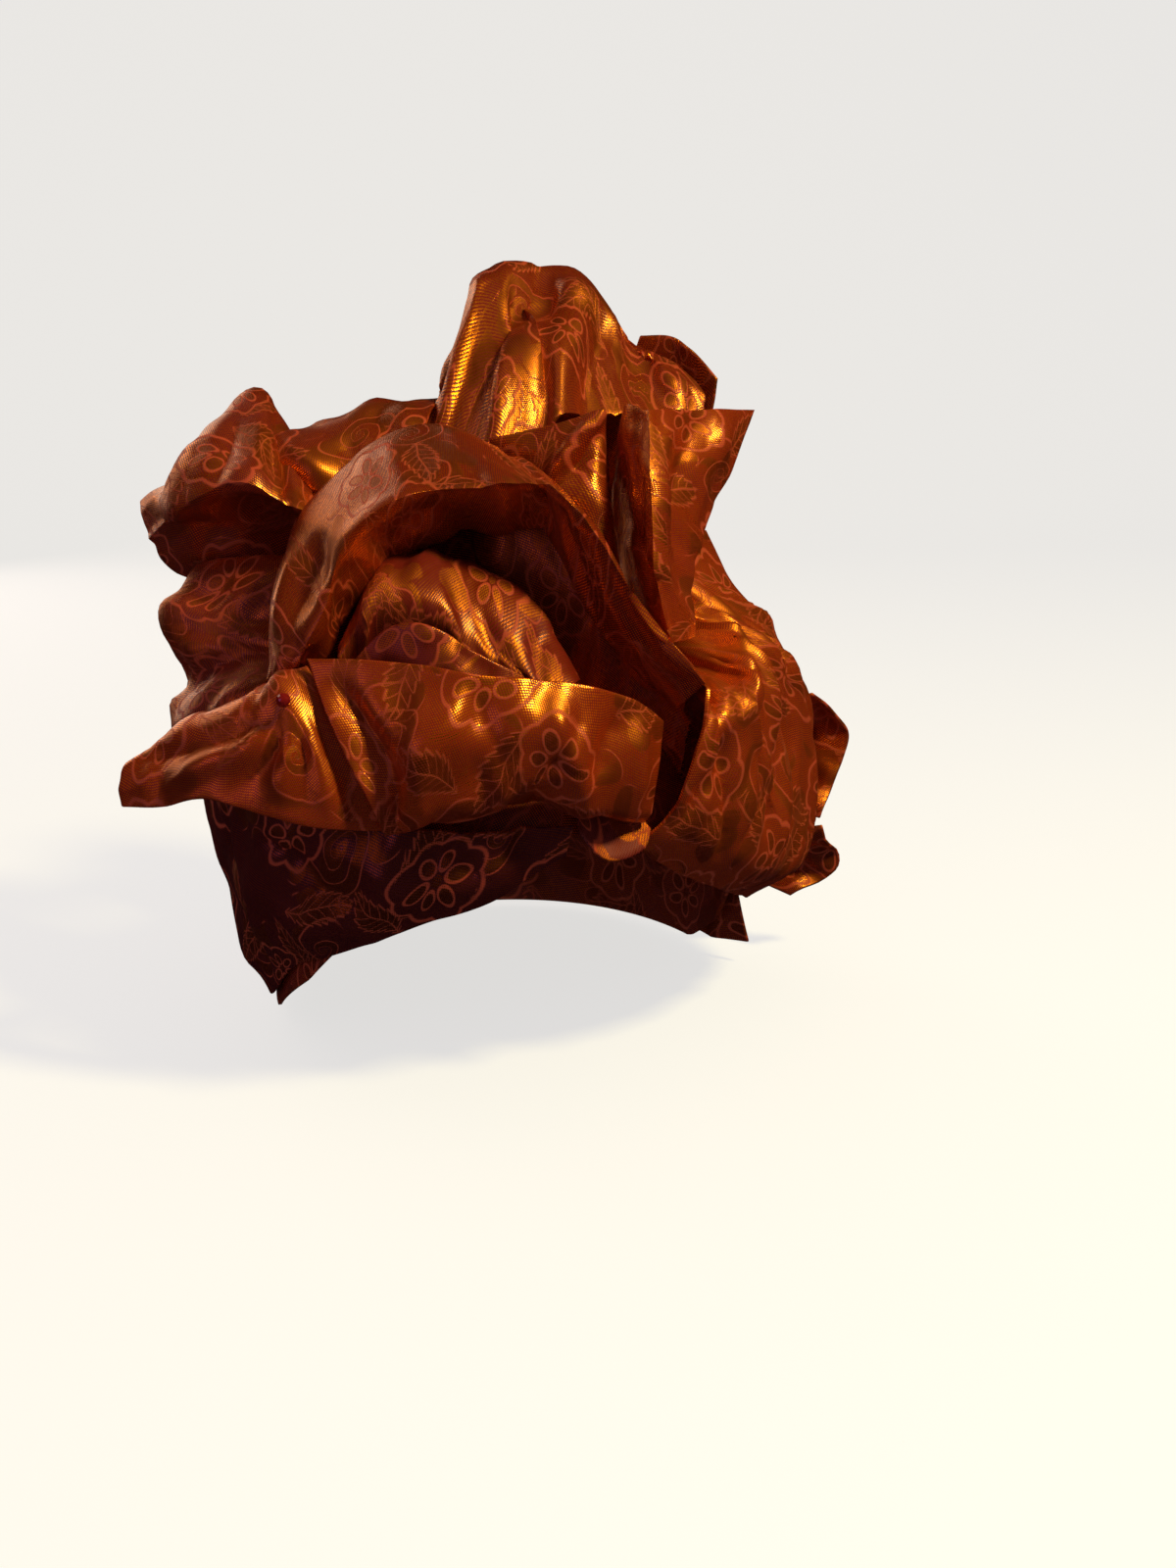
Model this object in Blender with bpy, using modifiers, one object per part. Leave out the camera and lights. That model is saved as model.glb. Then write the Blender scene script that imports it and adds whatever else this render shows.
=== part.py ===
# A gele head tie: one length of stiff metallic brocade, wound round the head, folded into a rose
# of petals on top and pinned at the left. Each fold is a closed sheet of cloth.
#
# The wearer looks along -Y, and +X is the viewer's right. The origin is where the head tie sits:
# the middle of the head, level with the lowest edge of the cloth over the brow.

import math

import bmesh
import bpy
import numpy as np
from mathutils import Vector

# Head that the cloth is tied round, in metres
HEAD_HALF_WIDTH = 0.076
HEAD_HALF_DEPTH = 0.096
HEAD_TOP_RISE = 0.058

# How far the cloth reaches below the origin and above the top of the head
HEM_DEPTH = 0.066
PETAL_RISE = 0.108

# Cloth, folded double, and the gap between two layers
CLOTH = 0.0018
CLEARANCE = 0.0005

# Dress pin
PIN_HEAD_DIAMETER = 0.0042
PIN_NECK_DIAMETER = 0.0016
PIN_NECK_LENGTH = 0.0030

# Samples between two control lines of a sheet
STEPS_ACROSS = 2
STEPS_ALONG = 2
LONG_FOLD_STEPS = 3
CAP_STEPS_ROUND = 60
CAP_STEPS_UP = 9
BACK_WRAP_STEPS_UP = 5
KNOT_SEGMENTS = 16
PIN_SEGMENTS = 12
PIN_STEPS = 7

# Where the pin goes through the left flap, as shares along the flap and down from its foot
PIN_ALONG = 0.80
PIN_DOWN = 0.57

# A foot that each petal lays on the cap, in degrees of lift
FOOT_LIFT = 4.0

COLLECTION = "gele_head_tie"

MAROON = (0.20, 0.030, 0.012, 1.0)
RUST = (0.34, 0.075, 0.015, 1.0)
GOLDEN = (0.62, 0.24, 0.025, 1.0)
PLUM = (0.11, 0.018, 0.022, 1.0)
PIN_RED = (0.12, 0.006, 0.006, 1.0)


# Places


def on_cap(turn, lift, layer=0):
    """Middle of the cloth that hugs the cap with so many layers under it.

    Turn is in degrees from the brow towards +X. Lift is in degrees above the origin's level,
    and below it, -90 is the hem.
    """
    out = CLOTH / 2 + (layer + 1) * (CLOTH + CLEARANCE)
    return cap_place(turn, lift, out)


def cap_place(turn, lift, out):
    side, rise = math.radians(turn), math.radians(max(lift, 0.0))
    across = (HEAD_HALF_WIDTH + out) * math.cos(rise) * math.sin(side)
    back = -(HEAD_HALF_DEPTH + out) * math.cos(rise) * math.cos(side)
    if lift < 0:
        return np.array((across, back, HEM_DEPTH * lift / 90))
    return np.array((across, back, (HEAD_TOP_RISE + out) * math.sin(rise)))


def free(across, back, level):
    """A place off the cap, as shares of the head's half width and half depth.

    Level -1 is the hem, 0 the origin, 1 the top of the head and 2 the top of the tallest petal.
    """
    if level < 0:
        height = HEM_DEPTH * level
    elif level < 1:
        height = HEAD_TOP_RISE * level
    else:
        height = HEAD_TOP_RISE + PETAL_RISE * (level - 1)
    return np.array((HEAD_HALF_WIDTH * across, HEAD_HALF_DEPTH * back, height))


# Tables: a row is one section across the fold, from its foot on the cap to its free edge.
# Columns named foot hold turn and lift in degrees, the others hold shares as free() reads them.

HOOD = {
    "columns": ("foot", "outer", "ridge", "tuck"),
    "sections": (
        ((-53, 30), (-0.95, -0.76, 0.88), (-0.87, -0.88, 1.00), (-0.80, -0.80, 0.97)),
        ((-51, 34), (-0.91, -0.65, 1.17), (-0.75, -0.88, 1.14), (-0.67, -0.74, 1.08)),
        ((-48, 40), (-0.83, -0.52, 1.33), (-0.66, -0.86, 1.30), (-0.55, -0.66, 1.20)),
        ((-42, 47), (-0.58, -0.40, 1.49), (-0.44, -0.84, 1.40), (-0.40, -0.62, 1.28)),
        ((-25, 52), (-0.35, -0.36, 1.56), (-0.19, -0.86, 1.43), (-0.17, -0.64, 1.30)),
        ((-5, 53), (-0.02, -0.60, 1.47), (0.05, -0.90, 1.43), (0.06, -0.72, 1.30)),
        ((14, 48), (0.21, -0.72, 1.29), (0.19, -0.91, 1.33), (0.14, -0.74, 1.20)),
        ((27, 39), (0.38, -0.77, 1.10), (0.37, -0.92, 1.14), (0.29, -0.76, 1.03)),
        ((34, 28), (0.53, -0.81, 0.92), (0.52, -0.94, 1.00), (0.44, -0.80, 0.86)),
        ((37, 18), (0.61, -0.85, 0.76), (0.60, -0.96, 0.87), (0.52, -0.85, 0.72)),
    ),
    "pleat": 0.02,
}

FRONT_ROLL = {
    "columns": ("foot", "lip", "face", "rim"),
    "sections": (
        ((-37, 18), (-0.58, -1.13, 0.30), (-0.69, -1.08, 0.68), (-0.81, -0.99, 1.03)),
        ((-31, 18), (-0.46, -1.15, 0.32), (-0.52, -1.17, 0.66), (-0.60, -1.07, 1.03)),
        ((-22, 18), (-0.34, -1.16, 0.35), (-0.36, -1.22, 0.68), (-0.41, -1.13, 1.02)),
        ((-12, 18), (-0.20, -1.17, 0.40), (-0.22, -1.24, 0.70), (-0.25, -1.18, 1.00)),
        ((0, 18), (-0.03, -1.17, 0.43), (0.00, -1.22, 0.70), (0.02, -1.18, 0.96)),
        ((9, 17), (0.16, -1.12, 0.34), (0.18, -1.18, 0.62), (0.20, -1.15, 0.90)),
        ((16, 16), (0.31, -1.06, 0.28), (0.32, -1.11, 0.52), (0.34, -1.09, 0.82)),
        ((21, 15), (0.40, -1.02, 0.25), (0.41, -1.05, 0.44), (0.43, -1.04, 0.72)),
    ),
    "pleat": 0.0,
}

LEFT_FLAP = {
    "columns": ("foot", "upper", "face", "lower"),
    "sections": (
        ((-70, 18), (-1.48, -0.68, 0.47), (-1.52, -0.72, 0.38), (-1.53, -0.75, 0.28)),
        ((-64, 20), (-1.30, -0.73, 0.64), (-1.36, -0.82, 0.50), (-1.38, -0.86, 0.33)),
        ((-58, 22), (-1.12, -0.82, 0.78), (-1.15, -0.94, 0.62), (-1.20, -0.96, 0.40)),
        ((-53, 23), (-1.00, -0.90, 0.88), (-1.00, -1.01, 0.66), (-1.03, -1.03, 0.35)),
        ((-48, 21), (-0.92, -0.93, 0.95), (-0.87, -1.05, 0.66), (-0.84, -1.09, 0.30)),
        ((-42, 20), (-0.83, -0.93, 0.98), (-0.715, -1.03, 0.66), (-0.60, -1.09, 0.26)),
    ),
    "pleat": -0.025,
}

INNER_PETAL = {
    "columns": ("foot", "crest", "rim"),
    "sections": (
        ((-46, 33), (-0.66, -0.72, 1.02), (-0.70, -0.84, 1.00)),
        ((-40, 37), (-0.52, -0.64, 1.20), (-0.58, -0.86, 1.13)),
        ((-28, 41), (-0.30, -0.66, 1.23), (-0.41, -0.90, 1.15)),
        ((-14, 42), (-0.12, -0.70, 1.19), (-0.26, -0.93, 1.10)),
        ((-2, 40), (0.05, -0.74, 1.10), (-0.10, -0.94, 1.01)),
        ((9, 34), (0.16, -0.80, 0.90), (0.02, -0.94, 0.90)),
    ),
    "pleat": 0.015,
}

INNER_LOBE = {
    "columns": ("foot", "face", "rim"),
    "sections": (
        ((-43, 30), (-0.66, -0.82, 0.80), (-0.69, -0.84, 0.93)),
        ((-38, 31), (-0.56, -0.91, 0.82), (-0.56, -0.92, 1.08)),
        ((-28, 31), (-0.40, -1.00, 0.84), (-0.40, -0.97, 1.10)),
        ((-14, 31), (-0.24, -1.03, 0.82), (-0.25, -1.01, 1.04)),
        ((-2, 30), (-0.06, -1.03, 0.76), (-0.08, -1.02, 0.94)),
        ((7, 28), (0.08, -1.02, 0.64), (0.06, -1.01, 0.80)),
    ),
    "pleat": 0.0,
}

SIDE_LOBE = {
    "columns": ("foot", "side", "front"),
    "sections": (
        ((-93, 12), (-1.36, -0.32, 0.50), (-0.96, -0.64, 0.74)),
        ((-93, 18), (-1.31, -0.26, 0.72), (-0.94, -0.58, 0.88)),
        ((-91, 25), (-1.37, -0.20, 1.02), (-0.90, -0.52, 1.02)),
        ((-88, 31), (-1.34, -0.18, 1.08), (-0.86, -0.44, 1.12)),
        ((-84, 36), (-1.28, -0.14, 1.13), (-0.80, -0.38, 1.22)),
    ),
    "pleat": 0.03,
}

TOP_LEFT_PETAL = {
    "columns": ("foot", "under", "front", "crest", "back"),
    "sections": (
        ((-100, 42), (-1.34, -0.04, 1.16), (-1.42, -0.12, 1.25), (-1.46, 0.00, 1.34), (-1.38, 0.16, 1.26)),
        ((-88, 47), (-1.12, -0.24, 1.24), (-1.22, -0.33, 1.37), (-1.26, 0.00, 1.51), (-1.24, 0.26, 1.36)),
        ((-78, 52), (-0.94, -0.26, 1.34), (-1.03, -0.42, 1.42), (-1.10, 0.04, 1.60), (-1.08, 0.32, 1.42)),
        ((-70, 57), (-0.84, -0.26, 1.32), (-0.93, -0.44, 1.39), (-0.99, 0.08, 1.64), (-0.96, 0.34, 1.44)),
        ((-66, 59), (-0.80, -0.20, 1.18), (-0.83, -0.46, 1.31), (-0.90, -0.02, 1.49), (-0.90, 0.28, 1.37)),
    ),
    "pleat": -0.01,
}

REAR_MID_FOLD = {
    "columns": ("foot", "front", "crest", "back"),
    "sections": (
        ((-64, 66), (-0.91, -0.27, 1.50), (-0.87, -0.06, 1.54), (-0.80, 0.18, 1.43)),
        ((-54, 69), (-0.77, -0.32, 1.45), (-0.69, -0.02, 1.56), (-0.63, 0.22, 1.44)),
        ((-42, 70), (-0.60, -0.31, 1.43), (-0.55, 0.02, 1.61), (-0.52, 0.24, 1.47)),
        ((-24, 71), (-0.38, -0.27, 1.50), (-0.33, 0.00, 1.62), (-0.34, 0.20, 1.46)),
    ),
    "pleat": 0.012,
}

PEAK_PETAL = {
    "columns": ("foot", "crest", "face", "low"),
    "sections": (
        ((-150, 66), (-0.22, 0.02, 1.71), (-0.28, -0.06, 1.67), (-0.32, -0.12, 1.64)),
        ((-168, 64), (-0.05, 0.16, 1.90), (-0.10, -0.05, 1.74), (-0.14, -0.30, 1.52)),
        ((-186, 62), (0.19, 0.29, 2.00), (0.16, -0.10, 1.84), (0.09, -0.35, 1.50)),
        ((-192, 61), (0.29, 0.28, 1.98), (0.24, -0.08, 1.82), (0.17, -0.34, 1.60)),
        ((-200, 60), (0.42, 0.25, 1.92), (0.37, -0.01, 1.79), (0.30, -0.27, 1.61)),
        ((-212, 56), (0.60, 0.14, 1.77), (0.59, 0.00, 1.70), (0.53, -0.19, 1.60)),
        ((-222, 51), (0.81, 0.00, 1.66), (0.83, -0.04, 1.63), (0.82, -0.10, 1.60)),
    ),
    "pleat": 0.03,
}

PEAK_FLAP = {
    "columns": ("foot", "low", "rim"),
    "sections": (
        ((150, 47), (0.52, 0.34, 1.50), (0.64, 0.27, 1.79)),
        ((142, 45), (0.70, 0.28, 1.52), (0.76, 0.22, 1.79)),
        ((132, 43), (0.86, 0.20, 1.50), (0.84, 0.17, 1.75)),
        ((122, 41), (0.90, 0.12, 1.50), (0.94, 0.10, 1.67)),
    ),
    "pleat": 0.02,
}

FAN_FOLD = {
    "columns": ("foot", "base", "rim"),
    "sections": (
        ((-14, 61), (-0.04, -0.42, 1.40), (-0.09, -0.44, 1.54)),
        ((2, 59), (0.06, -0.48, 1.40), (0.15, -0.46, 1.56)),
        ((14, 56), (0.15, -0.55, 1.36), (0.34, -0.50, 1.60)),
        ((24, 52), (0.27, -0.60, 1.24), (0.35, -0.45, 1.57)),
        ((29, 46), (0.36, -0.60, 1.12), (0.35, -0.42, 1.44)),
    ),
    "pleat": 0.0,
}

RIGHT_PETAL = {
    "columns": ("foot", "slit", "crease", "edge"),
    "sections": (
        ((47, 29), (0.51, -0.73, 1.02), (0.55, -0.80, 1.02), (0.65, -0.67, 1.02)),
        ((45, 35), (0.46, -0.69, 1.16), (0.49, -0.81, 1.16), (0.68, -0.57, 1.18)),
        ((43, 41), (0.43, -0.60, 1.32), (0.47, -0.77, 1.35), (0.74, -0.46, 1.30)),
        ((42, 46), (0.42, -0.52, 1.46), (0.47, -0.70, 1.48), (0.86, -0.38, 1.44)),
        ((41, 50), (0.42, -0.45, 1.60), (0.48, -0.61, 1.60), (0.98, -0.27, 1.60)),
    ),
    "pleat": 0.0,
}

RIGHT_PANEL = {
    "columns": ("foot", "low", "high", "shoulder", "rim"),
    "sections": (
        ((20, 4), (0.47, -1.00, 0.22), (0.53, -1.03, 0.45), (0.58, -1.03, 0.66), (0.63, -0.96, 0.86)),
        ((33, -10), (0.68, -0.94, 0.08), (0.76, -0.92, 0.42), (0.78, -0.88, 0.78), (0.60, -0.62, 0.88)),
        ((48, -24), (0.93, -0.72, -0.12), (1.00, -0.66, 0.40), (0.91, -0.69, 0.88), (0.56, -0.54, 1.02)),
        ((62, -36), (1.15, -0.42, -0.28), (1.22, -0.34, 0.38), (0.99, -0.47, 0.94), (0.57, -0.46, 1.13)),
        ((76, -46), (1.29, -0.10, -0.38), (1.37, -0.02, 0.32), (1.08, -0.20, 0.94), (0.68, -0.35, 1.22)),
        ((88, -50), (1.26, 0.10, -0.38), (1.34, 0.12, 0.30), (1.06, 0.00, 0.93), (0.82, -0.21, 1.26)),
    ),
    "pleat": 0.02,
    "steps": LONG_FOLD_STEPS,
}

LEFT_BAND = {
    "columns": ("foot", "low", "high", "rim"),
    "sections": (
        ((-102, -84), (-1.12, 0.16, -0.55), (-1.20, 0.16, -0.10), (-1.26, 0.14, 0.24)),
        ((-82, -86), (-1.14, -0.20, -0.55), (-1.23, -0.25, -0.10), (-1.27, -0.28, 0.26)),
        ((-62, -58), (-1.00, -0.60, -0.40), (-1.06, -0.66, 0.02), (-1.08, -0.70, 0.34)),
        ((-45, -42), (-0.77, -0.85, -0.26), (-0.80, -0.88, 0.05), (-0.80, -0.92, 0.32)),
        ((-28, -26), (-0.50, -0.99, -0.14), (-0.50, -1.01, 0.08), (-0.50, -1.03, 0.24)),
        ((-12, -13), (-0.21, -1.06, -0.02), (-0.21, -1.07, 0.12), (-0.20, -1.08, 0.23)),
        ((5, 4), (0.09, -1.06, 0.12), (0.10, -1.07, 0.18), (0.11, -1.07, 0.24)),
    ),
    "pleat": 0.03,
    "steps": LONG_FOLD_STEPS,
}

TAIL_UPPER = {
    "columns": ("foot", "fold", "rim"),
    "sections": (
        ((106, 20), (1.28, 0.20, 0.38), (1.40, 0.12, 0.43)),
        ((105, 8), (1.38, 0.24, 0.20), (1.58, 0.17, 0.22)),
        ((104, -8), (1.36, 0.23, -0.04), (1.56, 0.16, 0.02)),
        ((104, -24), (1.30, 0.22, -0.24), (1.46, 0.12, -0.26)),
    ),
    "pleat": 0.02,
}

TAIL_LOWER = {
    "columns": ("foot", "fold", "rim"),
    "sections": (
        ((105, -38), (1.28, 0.26, -0.40), (1.47, 0.15, -0.34)),
        ((106, -52), (1.34, 0.28, -0.54), (1.57, 0.20, -0.58)),
        ((107, -66), (1.25, 0.30, -0.70), (1.36, 0.22, -0.74)),
    ),
    "pleat": 0.02,
}

ROLL_TONGUE = {
    "columns": ("foot", "rim"),
    "sections": (
        ((8, 11), (0.13, -1.04, 0.20)),
        ((12, 9), (0.24, -1.05, 0.06)),
        ((15, 8), (0.38, -1.02, 0.10)),
        ((18, 8), (0.41, -0.99, 0.18)),
    ),
    "pleat": 0.0,
}

# Hem of the cap, in degrees of lift, by turn in degrees round the head
CAP_HEM = (
    (-180, -95),
    (-120, -94),
    (-82, -92),
    (-60, -64),
    (-45, -38),
    (-28, -22),
    (-12, -8),
    (5, 9),
    (20, 7),
    (33, -7),
    (48, -21),
    (62, -33),
    (76, -43),
    (88, -48),
    (100, -76),
    (112, -92),
    (180, -95),
)

# Plain turn round the back: turn, and the lift of its lower and upper edge, all in degrees
BACK_WRAP = (
    (97, -86, 14),
    (104, -88, 17),
    (125, -90, 26),
    (155, -92, 30),
    (185, -92, 32),
    (215, -92, 30),
    (240, -90, 26),
    (256, -86, 16),
)
BACK_WRAP_STEP_TURN = 6

# Its front edge is turned out at the bottom, behind the right temple
LIP_STAND = 0.009
LIP_END_TURN = 104

# Plain knot that ties the ends at the back of the head
KNOT_HALF_WIDTH = 0.027
KNOT_HALF_HEIGHT = 0.017
KNOT_DEPTH = 0.020
KNOT_LIFT = -40


# Making


def spread(points, steps):
    """Samples a smooth curve through the points, with so many steps between each two of them."""
    points = np.array(points, dtype=float)
    lengths = np.linalg.norm(np.diff(points, axis=0), axis=-1).reshape(len(points) - 1, -1).mean(axis=1)
    slopes = np.diff(points, axis=0) / lengths.reshape(-1, *[1] * (points.ndim - 1))
    tangents = np.concatenate([slopes[:1], (slopes[:-1] + slopes[1:]) / 2, slopes[-1:]])
    samples = []
    for span, length in enumerate(lengths):
        for step in range(steps):
            t = step / steps
            samples.append(
                (2 * t**3 - 3 * t**2 + 1) * points[span]
                + (t**3 - 2 * t**2 + t) * length * tangents[span]
                + (3 * t**2 - 2 * t**3) * points[span + 1]
                + (t**3 - t**2) * length * tangents[span + 1]
            )
    return np.array(samples + [points[-1]])


def sheet_grid(table, layer=0):
    """Grid of places on the middle of a sheet, a row for each sample along the fold."""
    rows = []
    for (turn, lift), *others in table["sections"]:
        rows.append(spread([on_cap(turn, lift, layer)] + [free(*place) for place in others], STEPS_ACROSS))
    steps = table.get("steps", STEPS_ALONG)
    grid = pleated(spread(rows, steps), HEAD_HALF_WIDTH * table["pleat"])
    feet = spread([section[0] for section in table["sections"]], steps)
    grid[:, 0] = [on_cap(turn, lift, layer) for turn, lift in feet]
    toes = np.array([on_cap(turn, lift + FOOT_LIFT, layer) for turn, lift in feet])
    return np.concatenate([toes[:, None], grid], axis=1)


def pleated(grid, depth):
    """Presses every second row in along the cloth's own normal, least at the foot and most at the rim."""
    along = np.gradient(grid, axis=0)
    across = np.gradient(grid, axis=1)
    normal = np.cross(along, across)
    normal /= np.linalg.norm(normal, axis=2, keepdims=True)
    share = np.linspace(0, 1, grid.shape[1])[None, :, None]
    pressed = (np.arange(len(grid)) % 2)[:, None, None]
    return grid + normal * share * pressed * depth


def material(name, colour, roughness=0.42, metallic=0.75):
    found = bpy.data.materials.new(name)
    found.use_nodes = True
    shader = found.node_tree.nodes["Principled BSDF"]
    shader.inputs["Base Color"].default_value = colour
    shader.inputs["Roughness"].default_value = roughness
    shader.inputs["Metallic"].default_value = metallic
    return found


def add_object(name, mesh, finish):
    obj = bpy.data.objects.new(name, mesh)
    obj.data.materials.append(finish)
    bpy.data.collections[COLLECTION].objects.link(obj)
    return obj


def add_cloth(name, grid, finish, closed=False):
    """A sheet of cloth through a grid of places, thickened evenly to both sides."""
    shell = bmesh.new()
    vertices = [[shell.verts.new(place) for place in row] for row in grid]
    rows = len(vertices)
    for i in range(rows if closed else rows - 1):
        for j in range(len(vertices[0]) - 1):
            this, following = vertices[i], vertices[(i + 1) % rows]
            shell.faces.new((this[j], following[j], following[j + 1], this[j + 1]))
    mesh = bpy.data.meshes.new(name)
    shell.to_mesh(mesh)
    shell.free()
    return thicken(add_object(name, mesh, finish))


def thicken(obj):
    wall = obj.modifiers.new("Cloth", "SOLIDIFY")
    wall.thickness = CLOTH
    wall.offset = 0.0
    obj.data.shade_smooth()
    return obj


def add_cap(finish):
    """The first turn of cloth, closed over the head."""
    shell = bmesh.new()
    hem_turns, hem_lifts = zip(*CAP_HEM)
    turns = [360 * step / CAP_STEPS_ROUND - 180 for step in range(CAP_STEPS_ROUND)]
    rings = []
    for level in range(CAP_STEPS_UP):
        share = level / CAP_STEPS_UP
        ring = []
        for turn in turns:
            hem = np.interp(turn, hem_turns, hem_lifts)
            ring.append(shell.verts.new(cap_place(turn, hem + (90 - hem) * share, CLOTH / 2)))
        rings.append(ring)
    top = shell.verts.new(cap_place(0, 90, CLOTH / 2))
    for lower, upper in zip(rings, rings[1:]):
        for i in range(CAP_STEPS_ROUND):
            j = (i + 1) % CAP_STEPS_ROUND
            shell.faces.new((lower[i], lower[j], upper[j], upper[i]))
    for i in range(CAP_STEPS_ROUND):
        shell.faces.new((rings[-1][i], rings[-1][(i + 1) % CAP_STEPS_ROUND], top))
    mesh = bpy.data.meshes.new("under_wrap")
    shell.to_mesh(mesh)
    shell.free()
    return thicken(add_object("under_wrap", mesh, finish))


def back_wrap_grid():
    turns, lows, highs = zip(*BACK_WRAP)
    count = round((turns[-1] - turns[0]) / BACK_WRAP_STEP_TURN) + 1
    rows = []
    for turn in np.linspace(turns[0], turns[-1], count):
        low, high = np.interp(turn, turns, lows), np.interp(turn, turns, highs)
        lip = LIP_STAND * max(0, (LIP_END_TURN - turn) / (LIP_END_TURN - turns[0]))
        row = []
        lifts = [low, low / 2, *np.linspace(0, high, BACK_WRAP_STEPS_UP)]
        for lift in lifts:
            out = CLOTH * 3 / 2 + CLEARANCE + lip * min(lift / low, 1) ** 2 * (lift < 0)
            row.append(cap_place(turn, lift, out))
        rows.append(row)
    return np.array(rows)


def add_knot(finish):
    """A soft flattened knot that sits on the back wrap, pressed flat where it touches."""
    shell = bmesh.new()
    bmesh.ops.create_uvsphere(shell, u_segments=KNOT_SEGMENTS, v_segments=KNOT_SEGMENTS // 2, radius=1)
    reach = HEAD_HALF_DEPTH + 2 * (CLOTH + CLEARANCE)
    for vertex in shell.verts:
        across, back, up = vertex.co
        across *= KNOT_HALF_WIDTH
        side = math.asin(across / HEAD_HALF_WIDTH)
        seat = (reach + CLEARANCE) * math.cos(side)
        vertex.co.x = across
        vertex.co.y = seat + KNOT_DEPTH * max(back, 0)
        vertex.co.z = HEM_DEPTH * KNOT_LIFT / 90 + KNOT_HALF_HEIGHT * up
    mesh = bpy.data.meshes.new("back_knot")
    shell.to_mesh(mesh)
    shell.free()
    obj = add_object("back_knot", mesh, finish)
    obj.data.shade_smooth()


def place_on(grid, along, down):
    """A place on a sheet, by its shares along the fold and down from its toe."""
    row, column = along * (len(grid) - 1), down * (len(grid[0]) - 1)
    i, j = min(int(row), len(grid) - 2), min(int(column), len(grid[0]) - 2)
    near, far = (
        grid[at, j] + (grid[at, j + 1] - grid[at, j]) * (column - j)
        for at in (i, i + 1)
    )
    return near + (far - near) * (row - i)


def add_pin(grid, finish):
    """A pin with a round head, pushed into the gather of the left flap."""
    place = place_on(grid, PIN_ALONG, PIN_DOWN)
    along = place_on(grid, PIN_ALONG + 0.1, PIN_DOWN) - place
    across = place_on(grid, PIN_ALONG, PIN_DOWN + 0.1) - place
    normal = Vector(np.cross(across, along)).normalized()
    if normal.y > 0:
        normal.negate()
    radius = PIN_HEAD_DIAMETER / 2
    neck = PIN_NECK_DIAMETER / 2
    start = math.asin(neck / radius)
    centre = PIN_NECK_LENGTH + radius * math.cos(start)
    profile = [
        (radius * math.sin(angle), centre + radius * math.cos(angle))
        for angle in np.linspace(0, math.pi - start, PIN_STEPS)
    ]
    profile += [(neck, 0), (0, 0)]
    shell = bmesh.new()
    points = [shell.verts.new((x, 0, z)) for x, z in profile]
    for first, second in zip(points, points[1:]):
        shell.edges.new((first, second))
    mesh = bpy.data.meshes.new("dress_pin")
    shell.to_mesh(mesh)
    shell.free()
    obj = add_object("dress_pin", mesh, finish)
    obj.location = Vector(place) + normal * (CLOTH / 2 + CLEARANCE)
    obj.rotation_euler = normal.to_track_quat("Z", "Y").to_euler()
    turned = obj.modifiers.new("Turned", "SCREW")
    turned.steps = PIN_SEGMENTS
    turned.render_steps = PIN_SEGMENTS
    turned.use_merge_vertices = True
    turned.merge_threshold = 0.00001
    obj.data.shade_smooth()


def clear_scene():
    for obj in list(bpy.data.objects):
        bpy.data.objects.remove(obj)
    bpy.context.scene.collection.children.link(bpy.data.collections.new(COLLECTION))


clear_scene()
maroon = material("maroon_brocade", MAROON)
rust = material("rust_brocade", RUST)
golden = material("golden_brocade", GOLDEN)
plum = material("plum_brocade", PLUM)
pin_red = material("pin_bead", PIN_RED, 0.2, 0.0)

add_cap(plum)
add_cloth("back_wrap", back_wrap_grid(), maroon)
add_knot(maroon)
add_cloth("left_band", sheet_grid(LEFT_BAND), plum)
add_cloth("right_panel", sheet_grid(RIGHT_PANEL), rust)
add_cloth("front_roll", sheet_grid(FRONT_ROLL), golden)
add_cloth("roll_tongue", sheet_grid(ROLL_TONGUE), maroon)
flap = sheet_grid(LEFT_FLAP)
add_cloth("left_flap", flap, rust)
add_pin(flap, pin_red)
add_cloth("hood", sheet_grid(HOOD), rust)
add_cloth("inner_petal", sheet_grid(INNER_PETAL), golden)
add_cloth("inner_lobe", sheet_grid(INNER_LOBE), rust)
add_cloth("side_lobe", sheet_grid(SIDE_LOBE), plum)
add_cloth("top_left_petal", sheet_grid(TOP_LEFT_PETAL), maroon)
add_cloth("rear_mid_fold", sheet_grid(REAR_MID_FOLD), rust)
add_cloth("peak_petal", sheet_grid(PEAK_PETAL), golden)
add_cloth("peak_flap", sheet_grid(PEAK_FLAP), rust)
add_cloth("fan_fold", sheet_grid(FAN_FOLD), maroon)
add_cloth("right_petal", sheet_grid(RIGHT_PETAL), golden)
add_cloth("tail_upper", sheet_grid(TAIL_UPPER, layer=1), rust)
add_cloth("tail_lower", sheet_grid(TAIL_LOWER, layer=1), maroon)
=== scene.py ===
import math
from functools import partial

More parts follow.
